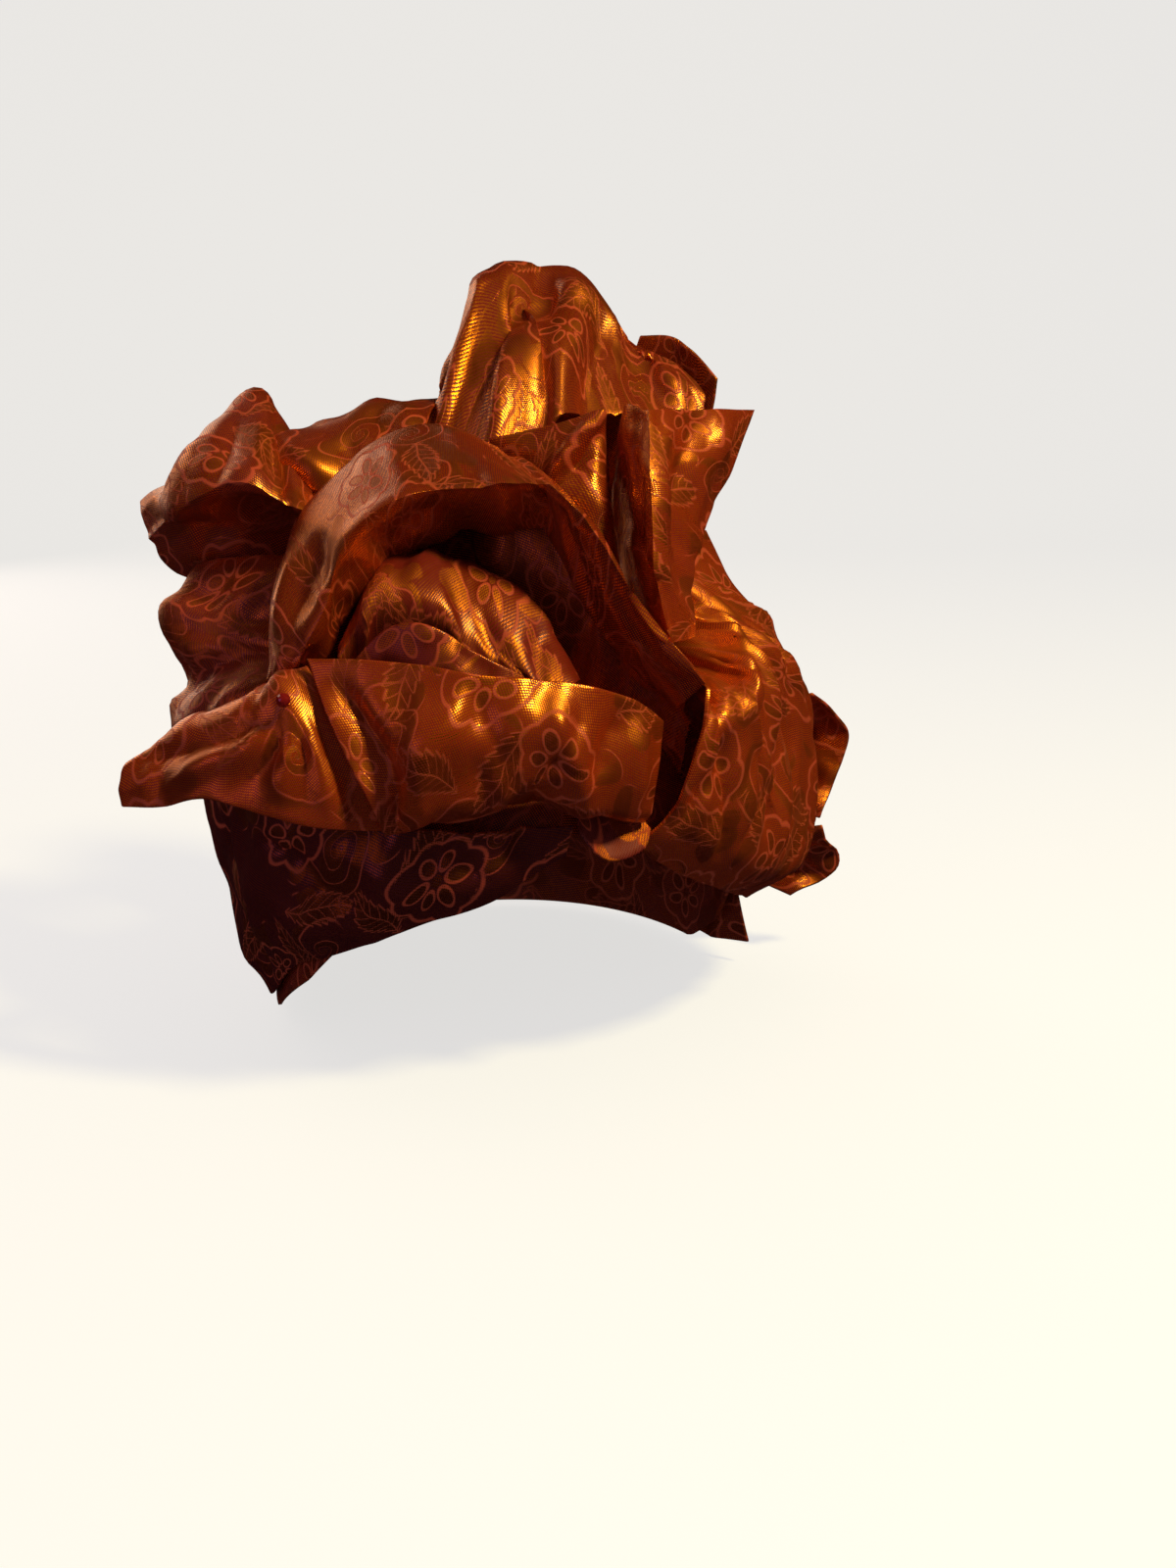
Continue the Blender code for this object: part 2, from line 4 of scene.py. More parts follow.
import bmesh
import bpy
import numpy as np
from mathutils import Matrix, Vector


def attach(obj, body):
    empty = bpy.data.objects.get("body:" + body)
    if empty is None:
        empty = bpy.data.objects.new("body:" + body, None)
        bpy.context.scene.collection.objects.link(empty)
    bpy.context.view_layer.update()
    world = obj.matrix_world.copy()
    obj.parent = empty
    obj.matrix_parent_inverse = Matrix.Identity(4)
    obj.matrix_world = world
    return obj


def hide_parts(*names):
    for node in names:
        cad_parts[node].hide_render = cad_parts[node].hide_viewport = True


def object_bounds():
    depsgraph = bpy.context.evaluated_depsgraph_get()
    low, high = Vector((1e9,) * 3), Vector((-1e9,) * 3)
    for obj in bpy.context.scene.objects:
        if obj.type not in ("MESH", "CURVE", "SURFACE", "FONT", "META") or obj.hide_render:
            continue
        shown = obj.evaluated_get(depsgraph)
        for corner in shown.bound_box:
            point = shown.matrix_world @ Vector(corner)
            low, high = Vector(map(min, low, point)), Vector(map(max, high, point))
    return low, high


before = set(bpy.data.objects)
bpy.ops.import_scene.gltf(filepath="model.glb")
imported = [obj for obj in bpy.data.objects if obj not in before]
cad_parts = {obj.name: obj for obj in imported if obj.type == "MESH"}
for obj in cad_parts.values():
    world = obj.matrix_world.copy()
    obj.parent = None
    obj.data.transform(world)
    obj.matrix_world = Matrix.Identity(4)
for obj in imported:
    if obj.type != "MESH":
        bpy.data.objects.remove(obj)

CAD_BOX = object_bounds()

# Camera
# The head tie is seen from a little left of its middle and from slightly above, close enough
# that the petals in front look larger than the ones behind. All lengths are in metres.
CAMERA_PLACE = (-0.0629, -0.5983, 0.1500)
CAMERA_AIM = (0.0276, -0.0027, 0.0006)
FILM_HEIGHT_MM = 36
LENS_MM = 42.83


def put(name, data):
    """Puts a new object in the scene."""
    obj = bpy.data.objects.new(name, data)
    bpy.context.scene.collection.objects.link(obj)
    return obj


def aim(obj, target):
    obj.rotation_euler = (Vector(target) - obj.location).to_track_quat("-Z", "Y").to_euler()


camera_data = bpy.data.cameras.new("camera")
camera_data.sensor_fit = "VERTICAL"
camera_data.sensor_height = FILM_HEIGHT_MM
camera_data.lens = LENS_MM
camera_data.clip_start = 0.01
camera = put("camera", camera_data)
camera.location = CAMERA_PLACE
aim(camera, CAMERA_AIM)
bpy.context.scene.camera = camera

# Floor
# A pale sheet of studio paper lies just under the lowest edge of the cloth and sweeps up behind
# it in one curve, so that no edge shows.
FLOOR_GAP = 0.002
FLOOR_HALF_WIDTH = 3.0
FLOOR_FRONT = -2.5
SWEEP_START = 1.2
SWEEP_RADIUS = 0.8
SWEEP_TOP = 2.5
SWEEP_STEPS = 16
FLOOR_COLOUR = (0.27, 0.275, 0.29, 1)
FLOOR_GLOW = 0.73
FLOOR_WHITE = (0.98, 0.97, 0.95, 1)

floor_level = CAD_BOX[0][2] - FLOOR_GAP
profile = [(FLOOR_FRONT, floor_level)]
for step in range(SWEEP_STEPS + 1):
    angle = math.pi / 2 * step / SWEEP_STEPS
    forward, up = SWEEP_RADIUS * math.sin(angle), SWEEP_RADIUS * (1 - math.cos(angle))
    profile.append((SWEEP_START + forward, floor_level + up))
profile.append((SWEEP_START + SWEEP_RADIUS, SWEEP_TOP))
paper = bmesh.new()
edges = [[paper.verts.new((side * FLOOR_HALF_WIDTH, y, z)) for y, z in profile] for side in (-1, 1)]
for i in range(len(profile) - 1):
    paper.faces.new((edges[0][i], edges[1][i], edges[1][i + 1], edges[0][i + 1]))
floor_mesh = bpy.data.meshes.new("floor")
paper.to_mesh(floor_mesh)
paper.free()
floor_mesh.shade_smooth()
floor = put("floor", floor_mesh)
floor_paper = bpy.data.materials.new("floor_paper")
floor_paper.use_nodes = True
matt = floor_paper.node_tree.nodes["Principled BSDF"]
matt.inputs["Base Color"].default_value = FLOOR_COLOUR
matt.inputs["Roughness"].default_value = 0.9
matt.inputs["Emission Color"].default_value = FLOOR_WHITE
matt.inputs["Emission Strength"].default_value = FLOOR_GLOW
floor_mesh.materials.append(floor_paper)
floor.visible_glossy = False
floor.visible_diffuse = False

# Light
# One strong lamp stands to the right in front and makes the gold flare. A weaker mauve one fills
# the shadow side, two more light the tops and the folds behind, and the room is dim and pale.
LAMPS = {
    # name: place, width, watts, colour
    "key_lamp": ((0.54, -0.60, 0.92), 0.16, 14.5, (1.0, 0.84, 0.36)),
    "top_lamp": ((-0.25, -0.15, 1.10), 0.60, 0.25, (1.0, 0.76, 0.76)),
    "fill_lamp": ((-0.95, -0.60, 0.25), 0.60, 0.8, (0.72, 0.32, 1.0)),
    "back_lamp": ((-0.60, 0.90, 0.40), 0.80, 3.4, (1.0, 0.78, 0.60)),
}
LAMP_AIM = (0.0, -0.02, 0.06)
ROOM_COLOUR = (0.012, 0.003, 0.004, 1)
PAPER_LIGHT = (0.24, 0.22, 0.22, 1)
BACKDROP_COLOUR = (0.82, 0.81, 0.79, 1)

for name, (place, width, watts, colour) in LAMPS.items():
    lamp_data = bpy.data.lights.new(name, "AREA")
    lamp_data.size = width
    lamp_data.energy = watts
    lamp_data.color = colour
    lamp = put(name, lamp_data)
    lamp.location = place
    aim(lamp, LAMP_AIM)

room = bpy.data.worlds.new("room")
room.use_nodes = True
room_tree = room.node_tree
dim = room_tree.nodes["Background"]
dim.inputs["Color"].default_value = ROOM_COLOUR
seen = dim.outputs[0]
path = room_tree.nodes.new("ShaderNodeLightPath")
for ray, colour in (("Is Diffuse Ray", PAPER_LIGHT), ("Is Camera Ray", BACKDROP_COLOUR)):
    paler = room_tree.nodes.new("ShaderNodeBackground")
    paler.inputs["Color"].default_value = colour
    choice = room_tree.nodes.new("ShaderNodeMixShader")
    room_tree.links.new(path.outputs[ray], choice.inputs[0])
    room_tree.links.new(seen, choice.inputs[1])
    room_tree.links.new(paler.outputs[0], choice.inputs[2])
    seen = choice.outputs[0]
room_tree.links.new(seen, room_tree.nodes["World Output"].inputs["Surface"])
bpy.context.scene.world = room
bpy.context.scene.view_settings.view_transform = "Standard"

# Under wrap
# The first turn of the cloth closes over the whole head like a cap. It is one layer of metallic
# jacquard, pulled tight, and everything else is folded out of the length that is left over.
HEAD_HALF_WIDTH = 0.076
HEAD_HALF_DEPTH = 0.096
HEAD_TOP_RISE = 0.058
HEM_DROP = 0.066
PETAL_RISE = 0.108
LAYER = 0.0023
CLOTH_THICKNESS = 0.0011
CAD_CLOTH = 0.0018
SPACING = 0.0016
SETTLE_SCALE = 10
CAP_HEM = (
    # turn round the head from the brow, lift of the hem, in degrees
    (-180, -95), (-120, -94), (-82, -92), (-60, -64), (-45, -38), (-28, -22), (-12, -8), (5, 9),
    (20, 7), (33, -7), (48, -21), (62, -33), (76, -43), (88, -48), (100, -76), (112, -92), (180, -95),
)
CAP_STEPS_ROUND = 220
CAP_STEPS_UP = 50


def cap_place(turn, lift, out):
    """A place on the head's cap, with turn and lift in degrees and out as the distance from it."""
    side, rise = math.radians(turn), math.radians(max(lift, 0.0))
    across = (HEAD_HALF_WIDTH + out) * math.cos(rise) * math.sin(side)
    back = -(HEAD_HALF_DEPTH + out) * math.cos(rise) * math.cos(side)
    if lift < 0:
        return np.array((across, back, HEM_DROP * lift / 90))
    return np.array((across, back, (HEAD_TOP_RISE + out) * math.sin(rise)))


def cloth_lengths(grid):
    """Flat place of every sample of the cloth, along the fold and from its foot to its rim."""
    along = np.linalg.norm(np.diff(grid, axis=0), axis=2)
    across = np.linalg.norm(np.diff(grid, axis=1), axis=2)
    along = np.concatenate([np.zeros((1, grid.shape[1])), np.cumsum(along, axis=0)])
    across = np.concatenate([np.zeros((len(grid), 1)), np.cumsum(across, axis=1)], axis=1)
    longest = along[:, along[-1].argmax()]
    return np.repeat(longest[:, None], grid.shape[1], axis=1), across


def normals(grid):
    faces = np.cross(np.gradient(grid, axis=0), np.gradient(grid, axis=1))
    return faces / np.maximum(np.linalg.norm(faces, axis=2, keepdims=True), 1e-9)


def crease(flat_place, start, end, width):
    """Height from 0 to 1 of one crease between two places, given as shares of the flat size."""
    along, across = flat_place
    size = np.array((along[-1, 0], across[:, -1].mean()))
    start, end = np.array(start) * size, np.array(end) * size
    length = max(np.linalg.norm(end - start), 1e-6)
    heading = (end - start) / length
    gone = (along - start[0]) * heading[0] + (across - start[1]) * heading[1]
    off = np.abs((along - start[0]) * heading[1] - (across - start[1]) * heading[0])
    beyond = np.maximum(np.maximum(-gone, gone - length), 0)
    near = np.clip(1 - np.hypot(off, beyond) / width, 0, 1)
    taper = np.clip(np.minimum(gone, length - gone) / (length * 0.35) + 0.3, 0, 1)
    return near**1.35 * taper


def crumple(grid, seed, count, height, length=(0.012, 0.045), slant=0.5):
    """Scatters short creases, most of them running from foot to rim, as handling leaves them."""
    chance = np.random.default_rng(seed)
    flat_place = cloth_lengths(grid)
    size = np.array((flat_place[0][-1, 0], flat_place[1][:, -1].mean()))
    relief = np.zeros(grid.shape[:2])
    for _ in range(count):
        start = chance.uniform(0.02, 0.98, 2)
        lean = chance.normal(0, slant)
        end = start + chance.uniform(*length) * np.array((math.sin(lean), math.cos(lean))) / size
        tall = height * chance.choice((-1, 1)) * chance.uniform(0.4, 1.0)
        relief += tall * crease(flat_place, start, end, chance.uniform(0.004, 0.010))
    return grid + normals(grid) * relief[..., None]


def facet(grid, seed, size, tilt, soft=0.13):
    """Breaks the cloth into flat facets with crisp edges, each tilted its own way."""
    chance = np.random.default_rng(seed)
    along, across = cloth_lengths(grid)
    height, weight = np.zeros(grid.shape[:2]), np.full(grid.shape[:2], 1e-9)
    for i in range(int(along.max() / size[0]) + 2):
        for j in range(int(across.max() / size[1]) + 2):
            off_along = along - (i + chance.uniform(-0.45, 0.45)) * size[0]
            off_across = across - (j + chance.uniform(-0.45, 0.45)) * size[1]
            near = np.exp(-np.hypot(off_along / size[0], off_across / size[1]) / soft)
            slope = chance.normal(0, tilt, 2)
            height += near * (slope[0] * off_along + slope[1] * off_across)
            weight += near
    rows, columns = np.linspace(0, 1, len(grid))[:, None], np.linspace(0, 1, len(grid[0]))
    inward = np.minimum(np.minimum(rows, 1 - rows), np.minimum(columns, 1 - columns))
    return grid + normals(grid) * (height / weight * np.minimum(0.3 + 4 * inward, 1))[..., None]


def press(grid, folds):
    """Presses single folds in: start and end as shares of the flat size, half width, height."""
    flat_place = cloth_lengths(grid)
    relief = np.zeros(grid.shape[:2])
    for start, end, width, height in folds:
        relief += height * crease(flat_place, start, end, width)
    return grid + normals(grid) * relief[..., None]


def buckle(grid, swell=0.05, hold=0.10, bending=1.5, most=0.0022, steps=14):
    """Lets the fold buckle: the cloth is made a little too large for its place and settles by itself."""
    rows, columns = grid.shape[:2]
    trial = bmesh.new()
    vertices = [[trial.verts.new(place * SETTLE_SCALE) for place in row] for row in grid]
    for i in range(rows - 1):
        for j in range(columns - 1):
            near, far = vertices[i], vertices[i + 1]
            trial.faces.new((near[j], far[j], far[j + 1], near[j + 1]))
    mesh = bpy.data.meshes.new("settling")
    trial.to_mesh(mesh)
    trial.free()
    settling = put("settling", mesh)
    held = settling.vertex_groups.new(name="held")
    foot = [i * columns + j for i in range(rows) for j in (0, 1)]
    held.add(range(rows * columns), hold, "REPLACE")
    held.add(foot, 1.0, "REPLACE")
    cloth = settling.modifiers.new("Cloth", "CLOTH")
    settings = cloth.settings
    settings.quality = 5
    settings.mass = 0.3
    settings.tension_stiffness = 25
    settings.compression_stiffness = 25
    settings.shear_stiffness = 10
    settings.bending_stiffness = bending
    settings.air_damping = 2
    settings.effector_weights.gravity = 0
    settings.vertex_group_mass = "held"
    settings.pin_stiffness = 1.0
    settings.shrink_min = -swell
    settings.shrink_max = -swell
    cloth.collision_settings.use_collision = False
    cloth.point_cache.frame_start = 1
    cloth.point_cache.frame_end = steps
    for frame_number in range(1, steps + 1):
        bpy.context.scene.frame_set(frame_number)
    settled = settling.evaluated_get(bpy.context.evaluated_depsgraph_get()).to_mesh()
    places = np.empty(rows * columns * 3)
    settled.vertices.foreach_get("co", places)
    moved = places.reshape(rows, columns, 3) / SETTLE_SCALE - grid
    bpy.data.objects.remove(settling)
    bpy.data.meshes.remove(mesh)
    bpy.context.scene.frame_set(1)
    far = np.linalg.norm(moved, axis=2, keepdims=True)
    return grid + moved * np.minimum(1, most / np.maximum(far, 1e-9))


def make_cloth(name, grid, finish, closed=False, thickness=CLOTH_THICKNESS):
    """A sheet of cloth through a grid of places, with its flat place kept as the Cloth map."""
    shell = bmesh.new()
    flat = shell.loops.layers.uv.new("Cloth")
    along, across = cloth_lengths(grid)
    rows, columns = grid.shape[:2]
    if closed:
        step = np.linalg.norm(grid[0] - grid[-1], axis=1).max()
        along = np.concatenate([along, along[-1:] + step])
        across = np.concatenate([across, across[:1]])
    vertices = [[shell.verts.new(place) for place in row] for row in grid]
    for i in range(rows if closed else rows - 1):
        for j in range(columns - 1):
            corners = ((i, j), (i + 1, j), (i + 1, j + 1), (i, j + 1))
            face = shell.faces.new([vertices[a % rows][b] for a, b in corners])
            for loop, (a, b) in zip(face.loops, corners):
                loop[flat].uv = (along[a, b], across[a, b])
    bmesh.ops.remove_doubles(shell, verts=shell.verts, dist=0.00005)
    mesh = bpy.data.meshes.new(name)
    shell.to_mesh(mesh)
    shell.free()
    mesh.materials.append(finish)
    mesh.shade_smooth()
    cloth = put(name, mesh)
    wall = cloth.modifiers.new("Thickness", "SOLIDIFY")
    wall.thickness = thickness
    wall.offset = 0.0
    rounding = cloth.modifiers.new("Rolled rim", "BEVEL")
    rounding.width = thickness * 0.42
    rounding.segments = 2
    rounding.limit_method = "ANGLE"
    rounding.angle_limit = math.radians(62)
    return cloth


def dress(cloth, node, grid):
    """Hangs the cloth sheet on the root body in place of the solid it stands for, which is hidden."""
    along, across = cloth_lengths(grid)
    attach(cloth, "root")
    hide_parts(node)


def feed(tree, socket, value):
    """Links a socket to another one, or sets it to a plain value."""
    if isinstance(value, bpy.types.NodeSocket):
        tree.links.new(value, socket)
    else:
        socket.default_value = value


def add_node(tree, kind, settings=(), **values):
    """Adds a node with its settings and its inputs by name, with _ for a space."""
    node = tree.nodes.new(kind)
    for name, value in dict(settings).items():
        setattr(node, name, value)
    for name, value in values.items():
        feed(tree, node.inputs[name.replace("_", " ")], value)
    return node


def maths(tree, operation, *values, clamp=False):
    node = add_node(tree, "ShaderNodeMath", {"operation": operation, "use_clamp": clamp})
    for socket, value in zip(node.inputs, values):
        feed(tree, socket, value)
    return node.outputs[0]


def vector_maths(tree, operation, *values):
    node = add_node(tree, "ShaderNodeVectorMath", {"operation": operation})
    for socket, value in zip(node.inputs, values):
        feed(tree, socket, value)
    return node.outputs[0]


def noise(tree, place, scale, detail, roughness=0.5):
    """A flat noise over the cloth. Its first output is the value and its second the colour."""
    return add_node(tree, "ShaderNodeTexNoise", {"noise_dimensions": "2D"}, Vector=place, Scale=scale,
                    Detail=detail, Roughness=roughness).outputs


def band(tree, value, middle, half_width, soft):
    """1 where value lies within half_width of middle, with a soft edge."""
    calc = partial(maths, tree)
    off = calc("ABSOLUTE", calc("SUBTRACT", value, middle))
    return calc("DIVIDE", calc("SUBTRACT", half_width, off), soft, clamp=True)


def new_group(name, inputs, outputs):
    group = bpy.data.node_groups.new(name, "ShaderNodeTree")
    for label, kind, value in inputs:
        socket = group.interface.new_socket(label, in_out="INPUT", socket_type=kind)
        if value is not None:
            socket.default_value = value
    for label, kind in outputs:
        group.interface.new_socket(label, in_out="OUTPUT", socket_type=kind)
    return group, group.nodes.new("NodeGroupInput"), group.nodes.new("NodeGroupOutput")


def motif_place(tree, place, scale, shift, spread):
    """Splits the cloth into cells. Gives the distance and the angle from the middle of a cell."""
    calc = partial(maths, tree)
    moved = vector_maths(tree, "ADD", place, shift)
    cell = add_node(tree, "ShaderNodeTexVoronoi", {"voronoi_dimensions": "2D"},
                    Vector=moved, Scale=scale, Randomness=spread)
    off = vector_maths(tree, "SUBTRACT", moved, cell.outputs["Position"])
    parts = add_node(tree, "ShaderNodeSeparateXYZ", Vector=off)
    tint = add_node(tree, "ShaderNodeSeparateColor", Color=cell.outputs["Color"])
    swing = calc("MULTIPLY", tint.outputs[0], 2 * math.pi)
    angle = calc("ADD", calc("ARCTAN2", parts.outputs[1], parts.outputs[0]), swing)
    squares = [calc("MULTIPLY", part, part) for part in parts.outputs[:2]]
    return calc("SQRT", calc("ADD", *squares)), angle


def build_figure_group():
    """The woven figure: six-petalled flowers, scrolls, serrated leaves and scalloped borders."""
    group, start, end = new_group(
        "Woven figure",
        [("Cloth Place", "NodeSocketVector", None), ("Repeat", "NodeSocketFloat", 0.040)],
        [("Figure", "NodeSocketFloat"), ("Outline", "NodeSocketFloat")],
    )
    calc, line = partial(maths, group), partial(band, group)
    scaled = add_node(group, "ShaderNodeVectorMath", {"operation": "SCALE"})
    group.links.new(start.outputs["Cloth Place"], scaled.inputs[0])
    group.links.new(calc("DIVIDE", 1.0, start.outputs["Repeat"]), scaled.inputs["Scale"])
    drift = noise(group, scaled.outputs[0], 1.6, 1.0)[1]
    place = vector_maths(group, "MULTIPLY_ADD", drift, (0.22, 0.22, 0), scaled.outputs[0])

    # Flowers: six oval petals round an eye
    distance, angle = motif_place(group, place, 0.85, (0, 0, 0), 0.55)
    sector = calc("MODULO", calc("ADD", angle, 4 * math.pi), math.pi / 3)
    sector = calc("SUBTRACT", sector, math.pi / 6)
    out = calc("SUBTRACT", calc("MULTIPLY", distance, calc("COSINE", sector)), 0.155)
    out = calc("DIVIDE", out, 0.088)
    aside = calc("DIVIDE", calc("MULTIPLY", distance, calc("SINE", sector)), 0.052)
    petal = calc("SQRT", calc("ADD", calc("POWER", out, 2.0), calc("POWER", aside, 2.0)))
    petals = calc("DIVIDE", calc("SUBTRACT", 1.0, petal), 0.15, clamp=True)
    eye = calc("DIVIDE", calc("SUBTRACT", 0.045, distance), 0.01, clamp=True)
    rim_wave = calc("MULTIPLY", calc("ABSOLUTE", calc("COSINE", calc("MULTIPLY", angle, 4.0))), 0.045)
    halo = line(calc("SUBTRACT", distance, rim_wave), 0.315, 0.022, 0.014)
    inside = calc("DIVIDE", calc("SUBTRACT", 0.34, distance), 0.02, clamp=True)

    # Scrolls: one arm that winds into its middle
    distance, angle = motif_place(group, place, 0.95, (3.7, 1.9, 0), 0.7)
    inward = calc("LOGARITHM", calc("ADD", distance, 0.02), math.e)
    arm = calc("FRACT", calc("ADD", calc("DIVIDE", angle, 2 * math.pi), calc("MULTIPLY", inward, 0.85)))
    reach = calc("DIVIDE", calc("SUBTRACT", 0.36, distance), 0.03, clamp=True)
    arm_fill = calc("MULTIPLY", line(arm, 0.42, 0.21, 0.05), reach)
    arm_edge = calc("MAXIMUM", line(arm, 0.20, 0.035, 0.03), line(arm, 0.65, 0.035, 0.03))
    arm_edge = calc("MULTIPLY", arm_edge, reach)

    # Leaves: long, with a serrated edge and side veins
    distance, angle = motif_place(group, place, 1.25, (8.2, 5.3, 0), 0.9)
    length = calc("MULTIPLY", distance, calc("COSINE", angle))
    side = calc("ABSOLUTE", calc("MULTIPLY", distance, calc("SINE", angle)))
    teeth = calc("MULTIPLY", calc("FRACT", calc("MULTIPLY", length, 13.0)), 0.030)
    narrowing = calc("MULTIPLY", calc("MULTIPLY", length, length), 1.1)
    depth = calc("SUBTRACT", calc("ADD", calc("SUBTRACT", 0.125, narrowing), teeth), side)
    leaf = calc("DIVIDE", depth, 0.02, clamp=True)
    leaf_edge = line(depth, 0.012, 0.014, 0.012)
    vein = calc("MULTIPLY", line(side, 0.0, 0.010, 0.008), leaf)
    slope = calc("FRACT", calc("MULTIPLY", calc("SUBTRACT", length, side), 11.0))
    ribs = calc("MULTIPLY", line(slope, 0.5, 0.09, 0.08), leaf)

    # Borders: the edge of many overlapping rounds
    rounds = add_node(group, "ShaderNodeTexVoronoi", {"voronoi_dimensions": "2D"},
                      Vector=place, Scale=3.1, Randomness=1.0)
    round_off, patch_off = rounds.outputs["Distance"], noise(group, place, 1.25, 0.0)[0]
    ground = line(patch_off, 0.52, 0.055, 0.03)
    scallop = calc("MULTIPLY", line(round_off, 0.44, 0.030, 0.03), ground)
    patch = calc("MULTIPLY", calc("DIVIDE", calc("SUBTRACT", 0.44, round_off), 0.04, clamp=True),
                 calc("DIVIDE", calc("SUBTRACT", patch_off, 0.50), 0.03, clamp=True))

    rest = calc("SUBTRACT", 1.0, inside)
    fill = calc("MULTIPLY", calc("MAXIMUM", calc("MAXIMUM", arm_fill, leaf), patch), rest)
    figure = calc("MAXIMUM", fill, calc("MAXIMUM", petals, eye))
    veins = calc("MAXIMUM", leaf_edge, calc("MAXIMUM", vein, ribs))
    edges = calc("MULTIPLY", calc("MAXIMUM", calc("MAXIMUM", arm_edge, scallop), veins), rest)
    petal_edge = calc("MULTIPLY", line(petal, 1.0, 0.22, 0.12), inside)
    outline = calc("MAXIMUM", edges, calc("MAXIMUM", halo, petal_edge))
    group.links.new(figure, end.inputs["Figure"])
    group.links.new(calc("MINIMUM", outline, 1.0), end.inputs["Outline"])
    return group


def build_weave_group():
    """Metal weft over a dull warp, as a height and as a mask of the threads that lie on top."""
    group, start, end = new_group(
        "Metal weave",
        [("Cloth Place", "NodeSocketVector", None), ("Thread", "NodeSocketFloat", 0.0007),
         ("Sunk", "NodeSocketFloat", 0.15)],
        [("Height", "NodeSocketFloat"), ("Metal Thread", "NodeSocketFloat")],
    )
    calc = partial(maths, group)
    parts = add_node(group, "ShaderNodeSeparateXYZ", Vector=start.outputs["Cloth Place"])
    turns = calc("DIVIDE", 2 * math.pi, start.outputs["Thread"])
    warp = calc("MULTIPLY", parts.outputs[0], turns)
    weft = calc("MULTIPLY", parts.outputs[1], turns)
    twill = calc("SINE", calc("ADD", warp, calc("MULTIPLY", weft, 0.5)))
    ribs = calc("SINE", weft)
    height = calc("ADD", calc("MULTIPLY", twill, 0.5), calc("MULTIPLY", ribs, 0.5))
    slub = noise(group, start.outputs["Cloth Place"], 900.0, 1.0)[0]
    height = calc("ADD", height, calc("MULTIPLY", slub, 0.8))
    group.links.new(height, end.inputs["Height"])
    above = calc("SUBTRACT", height, start.outputs["Sunk"])
    group.links.new(calc("MULTIPLY", above, 3.5, clamp=True), end.inputs["Metal Thread"])
    return group


def build_wear_and_sheen_group():
    """Where the metal thread has dulled or rubbed bright, in soft blotches and faint streaks. The brocade
    tints these blotches mauve as a painted sheen.
    """
    group, start, end = new_group(
        "Wear and sheen",
        [("Cloth Place", "NodeSocketVector", None), ("Amount", "NodeSocketFloat", 1.0)],
        [("Dulling and sheen", "NodeSocketFloat")],
    )
    calc, place = partial(maths, group), start.outputs["Cloth Place"]
    blotch = noise(group, place, 38.0, 3.0, 0.6)[0]
    streak = add_node(group, "ShaderNodeMapping", Vector=place, Scale=(60.0, 420.0, 1.0))
    fine = noise(group, streak.outputs[0], 1.0, 2.0)[0]
    both = calc("ADD", calc("MULTIPLY", blotch, 0.65), calc("MULTIPLY", fine, 0.35))
    spread_out = calc("MULTIPLY", calc("SUBTRACT", both, 0.38), 3.6, clamp=True)
    group.links.new(calc("MULTIPLY", spread_out, start.outputs["Amount"]), end.inputs["Dulling and sheen"])
    return group


FIGURE_GROUP = build_figure_group()
WEAVE_GROUP = build_weave_group()
WEAR_AND_SHEEN_GROUP = build_wear_and_sheen_group()

WARP_MAROON = (0.140, 0.007, 0.002, 1)
# A lighter copy of the maroon warp: painted light on the folds that face the key lamp.
WARP_RUSSET_PAINTED_LIGHT = (0.230, 0.016, 0.002, 1)
THREAD_GOLD = (1.0, 0.28, 0.006, 1)
FIGURE_BRONZE = (0.56, 0.150, 0.008, 1)
OUTLINE_TERRACOTTA = (0.36, 0.044, 0.016, 1)
# Mauve of the dulled blotches: a painted sheen.
WEAR_AND_SHEEN_MAUVE = (0.150, 0.014, 0.013, 1)


